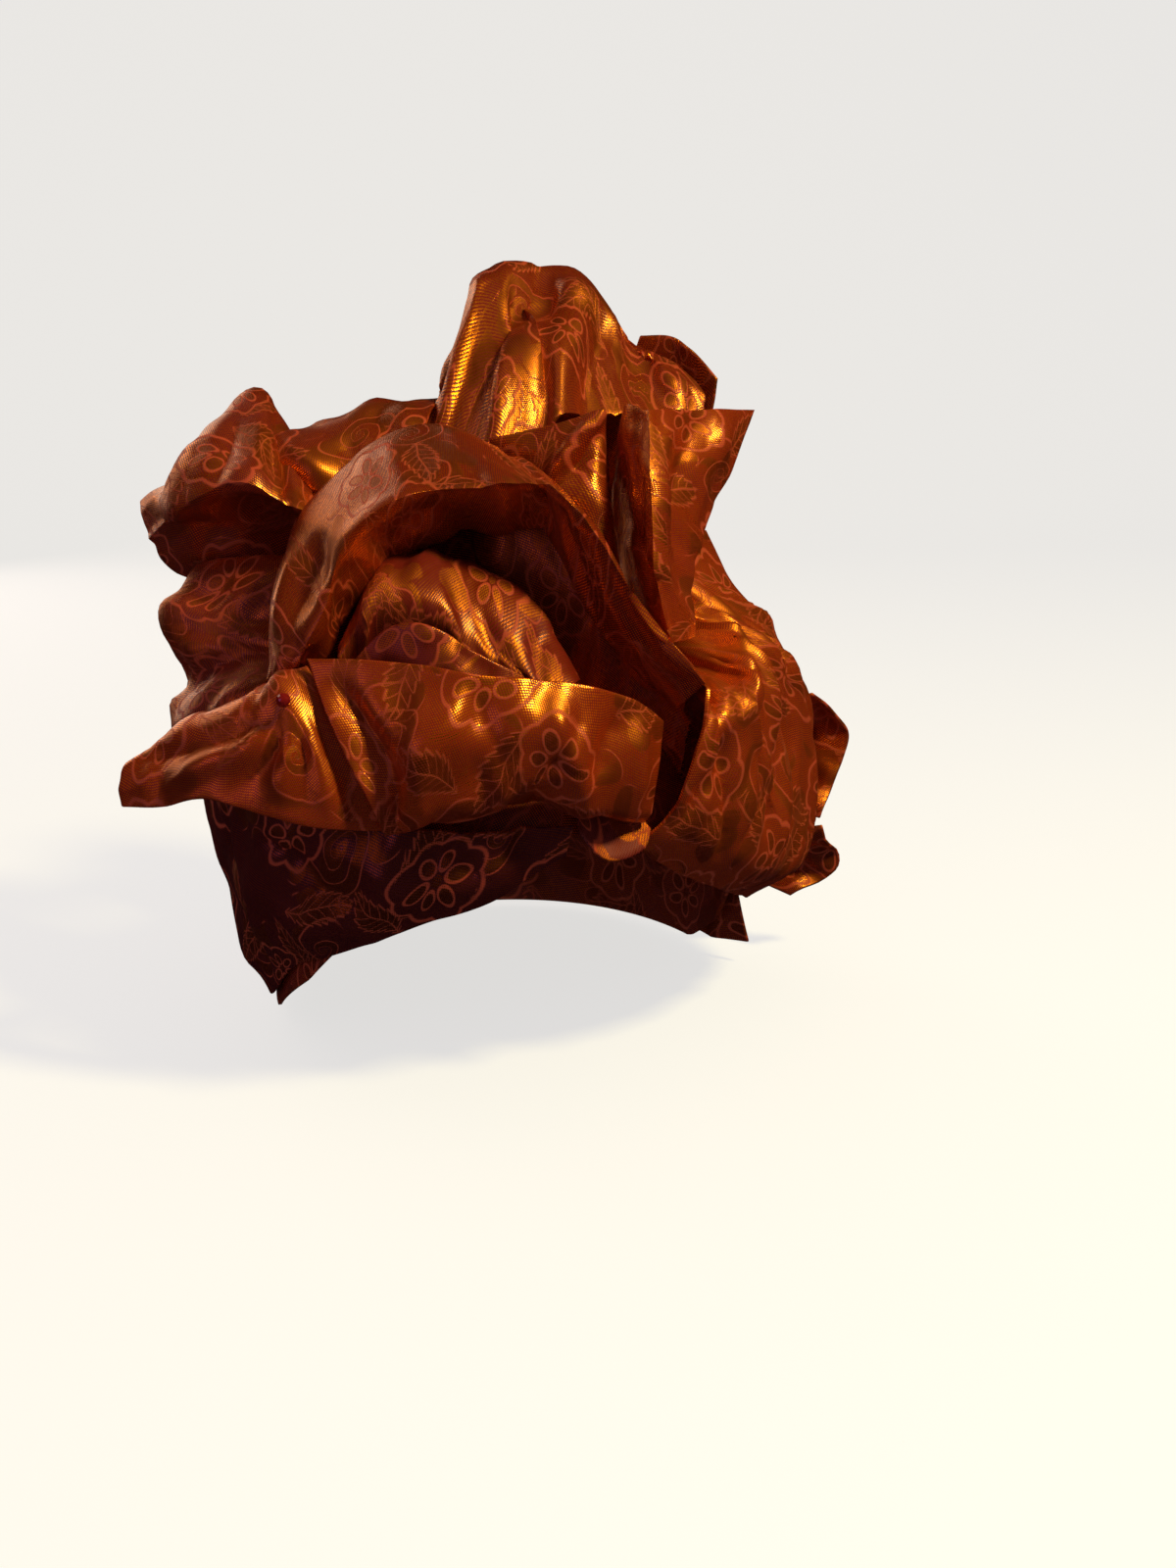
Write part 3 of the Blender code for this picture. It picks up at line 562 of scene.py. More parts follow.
def brocade(name, warp=WARP_MAROON, thread=THREAD_GOLD, dulling_and_sheen=0.35, gloss=0.29, turn=0.0,
            shift=(0, 0)):
    """Metallic jacquard. Turn and shift say which part of the length this fold was made from."""
    finish = bpy.data.materials.new(name)
    finish.use_nodes = True
    tree = finish.node_tree
    calc = partial(maths, tree)
    shader = tree.nodes["Principled BSDF"]
    flat = add_node(tree, "ShaderNodeUVMap", {"uv_map": "Cloth"})
    laid = add_node(tree, "ShaderNodeMapping", Vector=flat.outputs[0], Location=(*shift, 0),
                    Rotation=(0, 0, math.radians(turn)))
    woven = add_node(tree, "ShaderNodeGroup", {"node_tree": FIGURE_GROUP}, Cloth_Place=laid.outputs[0])
    wear_and_sheen = add_node(tree, "ShaderNodeGroup", {"node_tree": WEAR_AND_SHEEN_GROUP},
                    Cloth_Place=laid.outputs[0], Amount=dulling_and_sheen)

    def blend(factor, first, second):
        mix = add_node(tree, "ShaderNodeMix", {"data_type": "RGBA"})
        for number, value in ((0, factor), (6, first), (7, second)):
            feed(tree, mix.inputs[number], value)
        return mix.outputs[2]

    sunk = calc("MULTIPLY_ADD", woven.outputs["Outline"], 0.54, 0.44)
    sunk = calc("MULTIPLY_ADD", woven.outputs["Figure"], -0.45, sunk)
    sunk = calc("MULTIPLY_ADD", wear_and_sheen.outputs["Dulling and sheen"], 0.55, sunk)
    weave = add_node(tree, "ShaderNodeGroup", {"node_tree": WEAVE_GROUP},
                     Cloth_Place=laid.outputs[0], Sunk=sunk)
    metal = weave.outputs["Metal Thread"]
    bright = blend(woven.outputs["Figure"], thread, FIGURE_BRONZE)
    # The dulled blotches turn mauve: painted sheen on the worn thread.
    dull = blend(wear_and_sheen.outputs["Dulling and sheen"], warp, WEAR_AND_SHEEN_MAUVE)
    dull = blend(woven.outputs["Outline"], dull, OUTLINE_TERRACOTTA)
    tree.links.new(blend(metal, dull, bright), shader.inputs["Base Color"])
    tree.links.new(metal, shader.inputs["Metallic"])
    shader.inputs["Specular IOR Level"].default_value = 0.25
    rough = calc("ADD", gloss, calc("MULTIPLY", woven.outputs["Outline"], 0.22))
    rough = calc("ADD", rough, calc("MULTIPLY", woven.outputs["Figure"], 0.12))
    rough = calc("ADD", rough, calc("MULTIPLY", wear_and_sheen.outputs["Dulling and sheen"], 0.16))
    tree.links.new(rough, shader.inputs["Roughness"])
    relief = calc("ADD", calc("MULTIPLY", weave.outputs["Height"], 0.30),
                   calc("MULTIPLY", woven.outputs["Outline"], 0.8))
    bump = add_node(tree, "ShaderNodeBump", Height=relief, Strength=0.5, Distance=0.00010)
    tree.links.new(bump.outputs[0], shader.inputs["Normal"])
    return finish


turns = [360 * step / CAP_STEPS_ROUND - 180 for step in range(CAP_STEPS_ROUND)]
hem_turns, hem_lifts = zip(*CAP_HEM)
cap_grid = []
for turn in turns:
    hem = np.interp(turn, hem_turns, hem_lifts)
    lifts = hem + (89.9 - hem) * np.linspace(0, 1, CAP_STEPS_UP)
    cap_grid.append([cap_place(turn, lift, CAD_CLOTH / 2) for lift in lifts])
cap_grid = np.array(cap_grid)
rows = np.linspace(0, 1, CAP_STEPS_ROUND)
away_from_seam = np.minimum(1, 8 * np.minimum(rows, 1 - rows))[:, None, None]
away_from_top = np.minimum(1, 6 * np.linspace(1, 0, CAP_STEPS_UP))[:, None]
wrinkled = crumple(cap_grid, 9, 44, 0.0010, (0.03, 0.09), 1.0)
cap_grid += (wrinkled - cap_grid) * away_from_seam * away_from_top
cap_finish = brocade("under_wrap_brocade", dulling_and_sheen=0.8)
under_wrap = make_cloth("under_wrap_cloth", cap_grid, cap_finish, closed=True)
dress(under_wrap, "under_wrap", cap_grid)


# Back wrap
# The next turn goes plainly round the back of the head over the first one, a single stretched
# layer whose front edge is turned out behind the right temple.
BACK_WRAP = (
    # turn, lift of the lower edge, lift of the upper edge, in degrees
    (97, -86, 14), (104, -88, 17), (125, -90, 26), (155, -92, 30),
    (185, -92, 32), (215, -92, 30), (240, -90, 26), (256, -86, 16),
)
LIP_STAND = 0.009
LIP_END_TURN = 104
BACK_STEPS_ROUND = 150
BACK_STEPS_UP = 60

turns, lows, highs = zip(*BACK_WRAP)
back_grid = []
for turn in np.linspace(turns[0], turns[-1], BACK_STEPS_ROUND):
    low, high = np.interp(turn, turns, lows), np.interp(turn, turns, highs)
    lip = LIP_STAND * max(0, (LIP_END_TURN - turn) / (LIP_END_TURN - turns[0]))
    row = []
    for lift in np.linspace(low, high, BACK_STEPS_UP):
        out = CAD_CLOTH / 2 + LAYER + lip * min(lift / low, 1) ** 2 * (lift < 0)
        row.append(cap_place(turn, lift, out))
    back_grid.append(row)
BACK_FOLDS = (
    # start, end, half width, height
    ((0.50, 0.30), (0.06, 0.86), 0.008, 0.0022),
    ((0.49, 0.27), (0.03, 0.55), 0.007, 0.0020),
    ((0.49, 0.22), (0.05, 0.22), 0.007, -0.0018),
    ((0.50, 0.18), (0.14, 0.03), 0.006, 0.0016),
    ((0.54, 0.30), (0.96, 0.88), 0.008, 0.0022),
    ((0.55, 0.27), (0.97, 0.58), 0.007, 0.0020),
    ((0.55, 0.22), (0.95, 0.25), 0.007, -0.0018),
    ((0.54, 0.18), (0.88, 0.03), 0.006, 0.0016),
    ((0.52, 0.33), (0.38, 0.93), 0.007, 0.0018),
    ((0.53, 0.33), (0.70, 0.95), 0.007, 0.0018),
)
back_grid = crumple(press(np.array(back_grid), BACK_FOLDS), 11, 30, 0.0012, (0.03, 0.09), 1.3)
back_finish = brocade("back_wrap_brocade", turn=8, shift=(0.2, 0.1))
back_wrap = make_cloth("back_wrap_cloth", back_grid, back_finish)
dress(back_wrap, "back_wrap", back_grid)


# Left band
# The lower edge of the wrap, gathered across the brow and pulled down over the left temple. Its
# pleats all run to the point where the flap is pinned.
def on_cap(turn, lift, layer=0):
    return cap_place(turn, lift, CAD_CLOTH / 2 + (layer + 1) * LAYER)


def free(across, back, level):
    """A place off the cap. Level -1 is the hem, 0 the origin, 1 the head's top, 2 the tallest petal."""
    if level < 0:
        height = HEM_DROP * level
    elif level < 1:
        height = HEAD_TOP_RISE * level
    else:
        height = HEAD_TOP_RISE + PETAL_RISE * (level - 1)
    return np.array((HEAD_HALF_WIDTH * across, HEAD_HALF_DEPTH * back, height))


def smooth_line(points, sharp=()):
    """Samples a curve through the points at even spacing, with a crease at each sharp one."""
    points = np.array(points, dtype=float)
    steps = np.diff(points, axis=0)
    lengths = np.linalg.norm(steps, axis=-1).reshape(len(steps), -1).mean(axis=1)
    lengths = np.maximum(lengths, 1e-6)
    slopes = steps / lengths.reshape(-1, *[1] * (points.ndim - 1))
    leaving = np.concatenate([slopes[:1], (slopes[:-1] + slopes[1:]) / 2, slopes[-1:]])
    arriving = leaving.copy()
    for knot in sharp:
        arriving[knot], leaving[knot] = slopes[knot - 1], slopes[knot]
    samples = []
    for span, length in enumerate(lengths):
        count = max(2, round(length / SPACING))
        for step in range(count):
            t = step / count
            samples.append(
                (2 * t**3 - 3 * t**2 + 1) * points[span] + (t**3 - 2 * t**2 + t) * length * leaving[span]
                + (3 * t**2 - 2 * t**3) * points[span + 1] + (t**3 - t**2) * length * arriving[span + 1]
            )
    return np.array(samples + [points[-1]])


def fold(sections, layer=0, sharp_columns=(), sharp_rows=()):
    """Grid of a fold from its sections. The first column is the foot on the cap, in degrees."""
    columns = len(sections[0])
    knots = np.array([[on_cap(*row[0], layer), *[free(*place) for place in row[1:]]] for row in sections])
    across = smooth_line(knots.transpose(1, 0, 2), sharp_columns).transpose(1, 0, 2)
    return smooth_line(across, sharp_rows)


LEFT_BAND = (
    # foot (turn, lift), low, high, rim as shares of the head's size
    ((-102, -84), (-1.12, 0.16, -0.55), (-1.20, 0.16, -0.10), (-1.26, 0.14, 0.24)),
    ((-82, -86), (-1.14, -0.20, -0.55), (-1.23, -0.25, -0.10), (-1.27, -0.28, 0.26)),
    ((-62, -58), (-1.00, -0.60, -0.40), (-1.06, -0.66, 0.02), (-1.08, -0.70, 0.34)),
    ((-45, -42), (-0.77, -0.85, -0.26), (-0.80, -0.88, 0.05), (-0.80, -0.92, 0.32)),
    ((-28, -26), (-0.50, -0.99, -0.14), (-0.50, -1.01, 0.08), (-0.50, -1.03, 0.24)),
    ((-12, -13), (-0.21, -1.06, -0.02), (-0.21, -1.07, 0.12), (-0.20, -1.08, 0.23)),
    ((5, 4), (0.09, -1.06, 0.12), (0.10, -1.07, 0.18), (0.11, -1.07, 0.24)),
)
# The band's warp and thread are darker, plum and copper copies of the cloth's own colours: painted shade
# for the band under the flap and roll.
BAND_PLUM_PAINTED_SHADE = (0.045, 0.003, 0.007, 1)
BAND_COPPER_PAINTED_SHADE = (0.50, 0.110, 0.020, 1)

BAND_FOLDS = (
    # start, end, half width, height
    ((0.36, 1.19), (0.33, 0.85), 0.005, -0.0030),
    ((0.47, 0.92), (0.56, 0.71), 0.005, -0.0030),
    ((0.40, 0.70), (0.59, 0.21), 0.008, 0.0024),
    ((0.52, 0.84), (0.72, 0.09), 0.008, -0.0024),
    ((0.63, 0.72), (0.78, 0.15), 0.008, 0.0022),
    ((0.77, 0.52), (0.88, 0.15), 0.007, -0.0022),
    ((0.91, 0.35), (0.96, 0.05), 0.007, -0.0030),
    ((0.31, 0.54), (0.31, 0.08), 0.006, -0.0020),
)
band_grid = facet(press(fold(LEFT_BAND), BAND_FOLDS), 3, (0.020, 0.030), 0.09)
band_grid = crumple(band_grid, 3, 24, 0.0016, (0.02, 0.07), 0.6)
# Darker warp and thread here: painted shade.
band_finish = brocade("left_band_brocade", warp=BAND_PLUM_PAINTED_SHADE, thread=BAND_COPPER_PAINTED_SHADE, dulling_and_sheen=0.2, turn=35)
left_band = make_cloth("left_band_cloth", band_grid, band_finish)
dress(left_band, "left_band", band_grid)


# Right panel
# The broad wrinkled sweep of cloth that comes up from behind the right temple and is tucked
# under the front roll. One layer folded double, held by the tuck alone.
RIGHT_PANEL = (
    # foot (turn, lift), low, high, shoulder, rim
    ((20, 4), (0.47, -1.00, 0.22), (0.53, -1.03, 0.45), (0.58, -1.03, 0.66), (0.63, -0.96, 0.86)),
    ((33, -10), (0.68, -0.94, 0.08), (0.76, -0.92, 0.42), (0.78, -0.88, 0.78), (0.60, -0.62, 0.88)),
    ((48, -24), (0.93, -0.72, -0.12), (1.00, -0.66, 0.40), (0.91, -0.69, 0.88), (0.56, -0.54, 1.02)),
    ((62, -36), (1.15, -0.42, -0.28), (1.22, -0.34, 0.38), (0.99, -0.47, 0.94), (0.57, -0.46, 1.13)),
    ((76, -46), (1.29, -0.10, -0.38), (1.37, -0.02, 0.32), (1.08, -0.20, 0.94), (0.68, -0.35, 1.22)),
    ((88, -50), (1.26, 0.10, -0.38), (1.34, 0.12, 0.30), (1.06, 0.00, 0.93), (0.82, -0.21, 1.26)),
)
PANEL_FOLDS = (
    # start, end, half width, height
    ((0.06, 0.55), (0.03, 0.10), 0.006, -0.0038),
    ((0.11, 0.59), (0.00, 0.15), 0.005, 0.0032),
    ((0.62, 0.98), (0.06, 0.37), 0.007, 0.0035),
    ((0.55, 0.87), (0.24, 0.16), 0.007, -0.0041),
    ((0.44, 0.69), (0.27, 0.19), 0.006, 0.0035),
    ((0.06, 0.37), (0.19, 0.09), 0.006, -0.0032),
    ((0.50, 0.65), (0.49, 0.20), 0.006, -0.0030),
    ((0.65, 1.12), (0.56, 0.87), 0.006, -0.0030),
    ((0.68, 1.13), (0.45, 0.61), 0.004, 0.0022),
    ((0.41, 0.85), (0.29, 0.31), 0.004, 0.0024),
    ((0.75, 1.14), (0.56, 0.58), 0.004, -0.0022),
    ((0.27, 0.75), (0.23, 0.15), 0.004, -0.0024),
    ((0.02, 0.46), (0.08, 0.11), 0.004, 0.0024),
    ((0.11, 0.52), (0.44, 0.19), 0.004, 0.0022),
    ((0.56, 0.87), (0.53, 0.36), 0.004, -0.0024),
)
panel_grid = facet(press(fold(RIGHT_PANEL), PANEL_FOLDS), 5, (0.014, 0.050), 0.09)
panel_grid = crumple(panel_grid, 5, 36, 0.0018, (0.03, 0.10), 0.35)
# The panel's lighter warp is painted light.
panel_finish = brocade("right_panel_brocade", WARP_RUSSET_PAINTED_LIGHT, THREAD_GOLD, 0.15, 0.34, -25, (0.5, 0.3))
right_panel = make_cloth("right_panel_cloth", panel_grid, panel_finish)
dress(right_panel, "right_panel", panel_grid)


# Tails
# The two short ends of the cloth stick out behind the right temple, where they are tucked
# between the turns.
TAIL_UPPER = (
    # foot (turn, lift), root, tip
    ((106, 20), (1.28, 0.20, 0.38), (1.40, 0.12, 0.43)),
    ((105, 8), (1.38, 0.24, 0.20), (1.58, 0.17, 0.22)),
    ((104, -8), (1.36, 0.23, -0.04), (1.56, 0.16, 0.02)),
    ((104, -24), (1.30, 0.22, -0.24), (1.46, 0.12, -0.26)),
)
TAIL_LOWER = (
    # foot (turn, lift), root, tip
    ((105, -38), (1.28, 0.26, -0.40), (1.47, 0.15, -0.34)),
    ((106, -52), (1.34, 0.28, -0.54), (1.57, 0.20, -0.58)),
    ((107, -66), (1.25, 0.30, -0.70), (1.36, 0.22, -0.74)),
)
tail_finish = brocade("tail_brocade", turn=60, shift=(0.9, 0.4))
for number, (node, sections) in enumerate({"tail_upper": TAIL_UPPER, "tail_lower": TAIL_LOWER}.items()):
    tail_grid = facet(fold(sections, layer=1, sharp_columns=(1,)), 20 + number, (0.014, 0.014), 0.20)
    tail_grid = crumple(tail_grid, 20 + number, 10, 0.0018)
    tail_grid = buckle(tail_grid)
    tail = make_cloth(node + "_cloth", tail_grid, tail_finish)
    dress(tail, node, tail_grid)


# Back knot
# The two ends are tied once at the nape. The knot is a soft pillow of bunched cloth on the back
# wrap, with one end passed over its middle.
KNOT_HALF_WIDTH = 0.027
KNOT_HALF_HEIGHT = 0.017
KNOT_DEPTH = 0.020
KNOT_LIFT = -40
KNOT_STEPS = 72
KNOT_CREASES = 9
KNOT_CREASE_DEPTH = 0.20
KNOT_WAIST = 0.62
KNOT_BAND = 0.26
KNOT_BAND_FULLNESS = 0.93
KNOT_BAND_PLEATS = 3
KNOT_PLEAT_DEPTH = 0.05

bunch = bmesh.new()
bmesh.ops.create_uvsphere(bunch, u_segments=KNOT_STEPS, v_segments=KNOT_STEPS, radius=1)
flat = bunch.loops.layers.uv.new("Cloth")
reach = HEAD_HALF_DEPTH + CAD_CLOTH / 2 + 2 * LAYER - 0.001
for vertex in bunch.verts:
    back, up, across = vertex.co
    turned = math.atan2(up, back)
    if abs(across) < KNOT_BAND:
        pleat = KNOT_BAND_PLEATS * math.pi * (across / KNOT_BAND + 0.2 * math.sin(turned))
        fullness = KNOT_BAND_FULLNESS + KNOT_PLEAT_DEPTH * math.cos(pleat)
    else:
        spread = min(1, (abs(across) - KNOT_BAND) * 2.4)
        crest = abs(math.sin(KNOT_CREASES * turned / 2 + 1.2 * across))
        fullness = (KNOT_WAIST + (1 - KNOT_WAIST) * spread) * (1 - KNOT_CREASE_DEPTH * crest)
    across *= KNOT_HALF_WIDTH
    seat = reach * math.cos(math.asin(across / HEAD_HALF_WIDTH))
    vertex.co.x = across
    vertex.co.y = seat + KNOT_DEPTH * max(back, 0) * fullness
    vertex.co.z = HEM_DROP * KNOT_LIFT / 90 + KNOT_HALF_HEIGHT * up * fullness
for face in bunch.faces:
    for loop in face.loops:
        loop[flat].uv = (loop.vert.co.x, loop.vert.co.z)
knot_mesh = bpy.data.meshes.new("back_knot_cloth")
bunch.to_mesh(knot_mesh)
bunch.free()
knot_mesh.shade_smooth()
knot_mesh.materials.append(brocade("knot_brocade", turn=80))
back_knot = put("back_knot_cloth", knot_mesh)
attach(back_knot, "root")
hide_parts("back_knot")


# Hood and the folds in its hollow
# What is left of the length is folded to and fro on top of the head into stiff petals. The hood is
# folded forward like an arch, and two smaller folds stand in its hollow. The feet of all three are
# trapped behind the front roll.
# A darker copy of the gold thread: painted shade for the two folds in the hood's hollow. Their high
# dulling darkens them further.
THREAD_PAINTED_SHADE = (0.42, 0.10, 0.003, 1)


def fold_petal(node, number, sections, facets, creases, height, turn, folds=(), sharp_columns=(),
               sharp_rows=(), dulling_and_sheen=0.35, gloss=0.27, warp=WARP_MAROON, thread=THREAD_GOLD):
    """One petal: folded, pressed, crumpled and left to buckle. Number is its place in the length."""
    grid = press(fold(sections, sharp_columns=sharp_columns, sharp_rows=sharp_rows), folds)
    grid = facet(grid, 70 + number, *facets)
    grid = buckle(crumple(grid, 40 + number, creases, height))
    shift = (0.13 * number, 0.07 * number)
    finish = brocade(node + "_brocade", warp, thread, dulling_and_sheen, gloss, turn, shift)
    dress(make_cloth(node + "_cloth", grid, finish), node, grid)


fold_petal(
    "hood", 0,
    sections=(
        # foot, outer, ridge, tuck
        ((-53, 30), (-0.95, -0.76, 0.88), (-0.87, -0.88, 1.00), (-0.80, -0.80, 0.97)),
        ((-51, 34), (-0.91, -0.65, 1.17), (-0.75, -0.88, 1.14), (-0.67, -0.74, 1.08)),
        ((-48, 40), (-0.83, -0.52, 1.33), (-0.66, -0.86, 1.30), (-0.55, -0.66, 1.20)),
        ((-42, 47), (-0.58, -0.40, 1.49), (-0.44, -0.84, 1.40), (-0.40, -0.62, 1.28)),
        ((-25, 52), (-0.35, -0.36, 1.56), (-0.19, -0.86, 1.43), (-0.17, -0.64, 1.30)),
        ((-5, 53), (-0.02, -0.60, 1.47), (0.05, -0.90, 1.43), (0.06, -0.72, 1.30)),
        ((14, 48), (0.21, -0.72, 1.29), (0.19, -0.91, 1.33), (0.14, -0.74, 1.20)),
        ((27, 39), (0.38, -0.77, 1.10), (0.37, -0.92, 1.14), (0.29, -0.76, 1.03)),
        ((34, 28), (0.53, -0.81, 0.92), (0.52, -0.94, 1.00), (0.44, -0.80, 0.86)),
        ((37, 18), (0.61, -0.85, 0.76), (0.60, -0.96, 0.87), (0.52, -0.85, 0.72)),
    ),
    folds=(
        ((0.08, 0.54), (0.22, 0.83), 0.006, 0.0018),
        ((0.05, 0.58), (0.23, 0.94), 0.006, -0.0018),
        ((0.05, 0.44), (0.18, 0.63), 0.006, -0.0016),
        ((0.38, 0.85), (0.36, 1.14), 0.007, -0.0014),
        ((0.47, 1.03), (0.45, 1.27), 0.006, 0.0014),
        ((0.58, 0.98), (0.65, 1.02), 0.006, 0.0020),
        ((0.76, 0.62), (0.98, 0.45), 0.005, -0.0018),
        ((0.67, 0.84), (0.94, 0.56), 0.006, 0.0022),
        ((0.23, 0.94), (0.37, 1.16), 0.003, -0.0012),
        ((0.37, 1.16), (0.55, 1.06), 0.003, -0.0012),
        ((0.55, 1.06), (0.61, 0.91), 0.003, -0.0012),
        ((0.61, 0.91), (0.79, 0.55), 0.003, -0.0012),
        ((0.79, 0.55), (0.98, 0.38), 0.003, -0.0012),
    ),
    facets=((0.028, 0.050), 0.06),
    sharp_columns=(2,), sharp_rows=(5,), creases=13, height=0.00108, turn=10, dulling_and_sheen=0.25,
)
fold_petal(
    "inner_petal", 1,
    sections=(
        # foot, crest, rim, hem
        ((-46, 33), (-0.66, -0.72, 1.02), (-0.70, -0.84, 1.00), (-0.68, -0.78, 0.94)),
        ((-40, 37), (-0.52, -0.64, 1.20), (-0.58, -0.85, 1.13), (-0.55, -0.80, 0.98)),
        ((-28, 41), (-0.30, -0.66, 1.23), (-0.41, -0.87, 1.14), (-0.38, -0.83, 0.98)),
        ((-14, 42), (-0.12, -0.72, 1.17), (-0.25, -0.90, 1.07), (-0.22, -0.88, 0.93)),
        ((-2, 40), (0.05, -0.80, 1.08), (-0.06, -0.96, 0.97), (-0.05, -0.95, 0.84)),
        ((9, 34), (0.15, -0.89, 0.88), (0.06, -1.01, 0.82), (0.06, -1.00, 0.72)),
    ),
    folds=(
        ((0.17, 0.99), (0.31, 0.87), 0.006, -0.0020),
        ((0.37, 0.95), (0.43, 0.41), 0.006, -0.0020),
        ((0.48, 0.89), (0.68, 1.05), 0.006, -0.0018),
        ((0.63, 0.81), (0.85, 0.75), 0.006, 0.0020),
    ),
    facets=((0.014, 0.024), 0.12),
    # The darker thread here is painted shade.
    creases=7, height=0.00096, turn=70, dulling_and_sheen=0.7, gloss=0.30, thread=THREAD_PAINTED_SHADE,
)
fold_petal(
    "inner_lobe", 2,
    sections=(
        # foot, face, rim
        ((-43, 30), (-0.66, -0.82, 0.80), (-0.69, -0.84, 0.93)),
        ((-38, 31), (-0.56, -0.91, 0.82), (-0.56, -0.92, 1.08)),
        ((-28, 31), (-0.40, -1.00, 0.84), (-0.40, -0.97, 1.10)),
        ((-14, 31), (-0.24, -1.03, 0.82), (-0.25, -1.01, 1.04)),
        ((-2, 30), (-0.06, -1.03, 0.76), (-0.08, -1.02, 0.94)),
        ((7, 28), (0.08, -1.02, 0.64), (0.06, -1.01, 0.80)),
    ),
    folds=(
        ((0.15, 1.05), (0.33, 1.27), 0.005, -0.0016),
        ((0.41, 1.27), (0.43, 1.14), 0.005, 0.0016),
        ((0.51, 1.17), (0.57, 1.02), 0.005, -0.0016),
    ),
    facets=((0.014, 0.024), 0.12),
    # The darker thread here is painted shade.
    creases=5, height=0.00072, turn=120, dulling_and_sheen=0.6, gloss=0.30, thread=THREAD_PAINTED_SHADE,
)

# Rear petals
# Behind the hood the cloth is turned to and fro into a crumpled lobe at the side, a puffed petal,
# a low fold and the tall tent of the peak, whose far corner shows as a flap. Only their creases
# keep them up.
fold_petal(
    "side_lobe", 3,
    sections=(
        # foot, side, front
        ((-93, 12), (-1.36, -0.32, 0.50), (-0.96, -0.64, 0.74)),
        ((-93, 18), (-1.31, -0.26, 0.72), (-0.94, -0.58, 0.88)),
        ((-91, 25), (-1.37, -0.20, 1.02), (-0.90, -0.52, 1.02)),
        ((-88, 31), (-1.34, -0.18, 1.08), (-0.86, -0.44, 1.12)),
        ((-84, 36), (-1.28, -0.14, 1.13), (-0.80, -0.38, 1.22)),
    ),
    folds=(
        ((0.76, 0.67), (0.69, 0.97), 0.007, 0.0030),
        ((0.62, 0.64), (0.86, 0.95), 0.007, -0.0025),
        ((0.24, 0.53), (0.58, 1.00), 0.006, 0.0030),
        ((0.04, 0.72), (0.20, 0.94), 0.006, -0.0025),
        ((0.50, 0.56), (0.45, 0.86), 0.006, -0.0020),
    ),
    facets=((0.015, 0.022), 0.18),
    creases=9, height=0.00144, turn=-40, dulling_and_sheen=0.8,
)
fold_petal(
    "top_left_petal", 4,
    sections=(
        # foot, under, front, crest, back
        ((-100, 42), (-1.34, -0.04, 1.16), (-1.42, -0.12, 1.25), (-1.46, 0.00, 1.34), (-1.38, 0.16, 1.26)),
        ((-88, 47), (-1.12, -0.24, 1.24), (-1.22, -0.33, 1.37), (-1.26, 0.00, 1.51), (-1.24, 0.26, 1.36)),
        ((-78, 52), (-0.94, -0.26, 1.34), (-1.03, -0.42, 1.42), (-1.10, 0.04, 1.60), (-1.08, 0.32, 1.42)),
        ((-70, 57), (-0.84, -0.26, 1.32), (-0.93, -0.44, 1.39), (-0.99, 0.08, 1.64), (-0.96, 0.34, 1.44)),
        ((-66, 59), (-0.80, -0.20, 1.18), (-0.77, -0.46, 1.35), (-0.81, -0.08, 1.47), (-0.86, 0.28, 1.37)),
    ),
    folds=(
        ((0.38, 0.71), (0.16, 0.56), 0.007, 0.0020),
        ((0.52, 0.77), (0.41, 0.52), 0.005, -0.0024),
        ((0.66, 0.81), (0.57, 0.52), 0.006, 0.0020),
        ((0.73, 0.77), (0.76, 0.48), 0.005, -0.0024),
        ((0.07, 0.55), (0.36, 0.39), 0.006, -0.0020),
    ),
    facets=((0.018, 0.030), 0.11),
    sharp_columns=(2,), creases=9, height=0.0012, turn=20, dulling_and_sheen=0.7,
)
fold_petal(
    "rear_mid_fold", 5,
    sections=(
        # foot, front, crest, back
        ((-64, 66), (-0.92, -0.26, 1.46), (-0.87, -0.06, 1.53), (-0.80, 0.18, 1.43)),
        ((-54, 69), (-0.77, -0.32, 1.45), (-0.69, -0.02, 1.56), (-0.63, 0.22, 1.44)),
        ((-42, 70), (-0.60, -0.31, 1.43), (-0.55, 0.02, 1.61), (-0.52, 0.24, 1.47)),
        ((-24, 71), (-0.33, -0.26, 1.50), (-0.26, 0.02, 1.63), (-0.28, 0.20, 1.46)),
    ),
    folds=(
        ((0.12, 0.63), (0.41, 0.49), 0.005, 0.0016),
        ((0.29, 0.70), (0.62, 0.47), 0.005, -0.0016),
        ((0.58, 0.71), (0.79, 0.52), 0.005, -0.0020),
        ((0.79, 0.71), (0.92, 0.51), 0.005, 0.0013),
    ),
    facets=((0.016, 0.030), 0.09),
    creases=7, height=0.00108, turn=100,
)
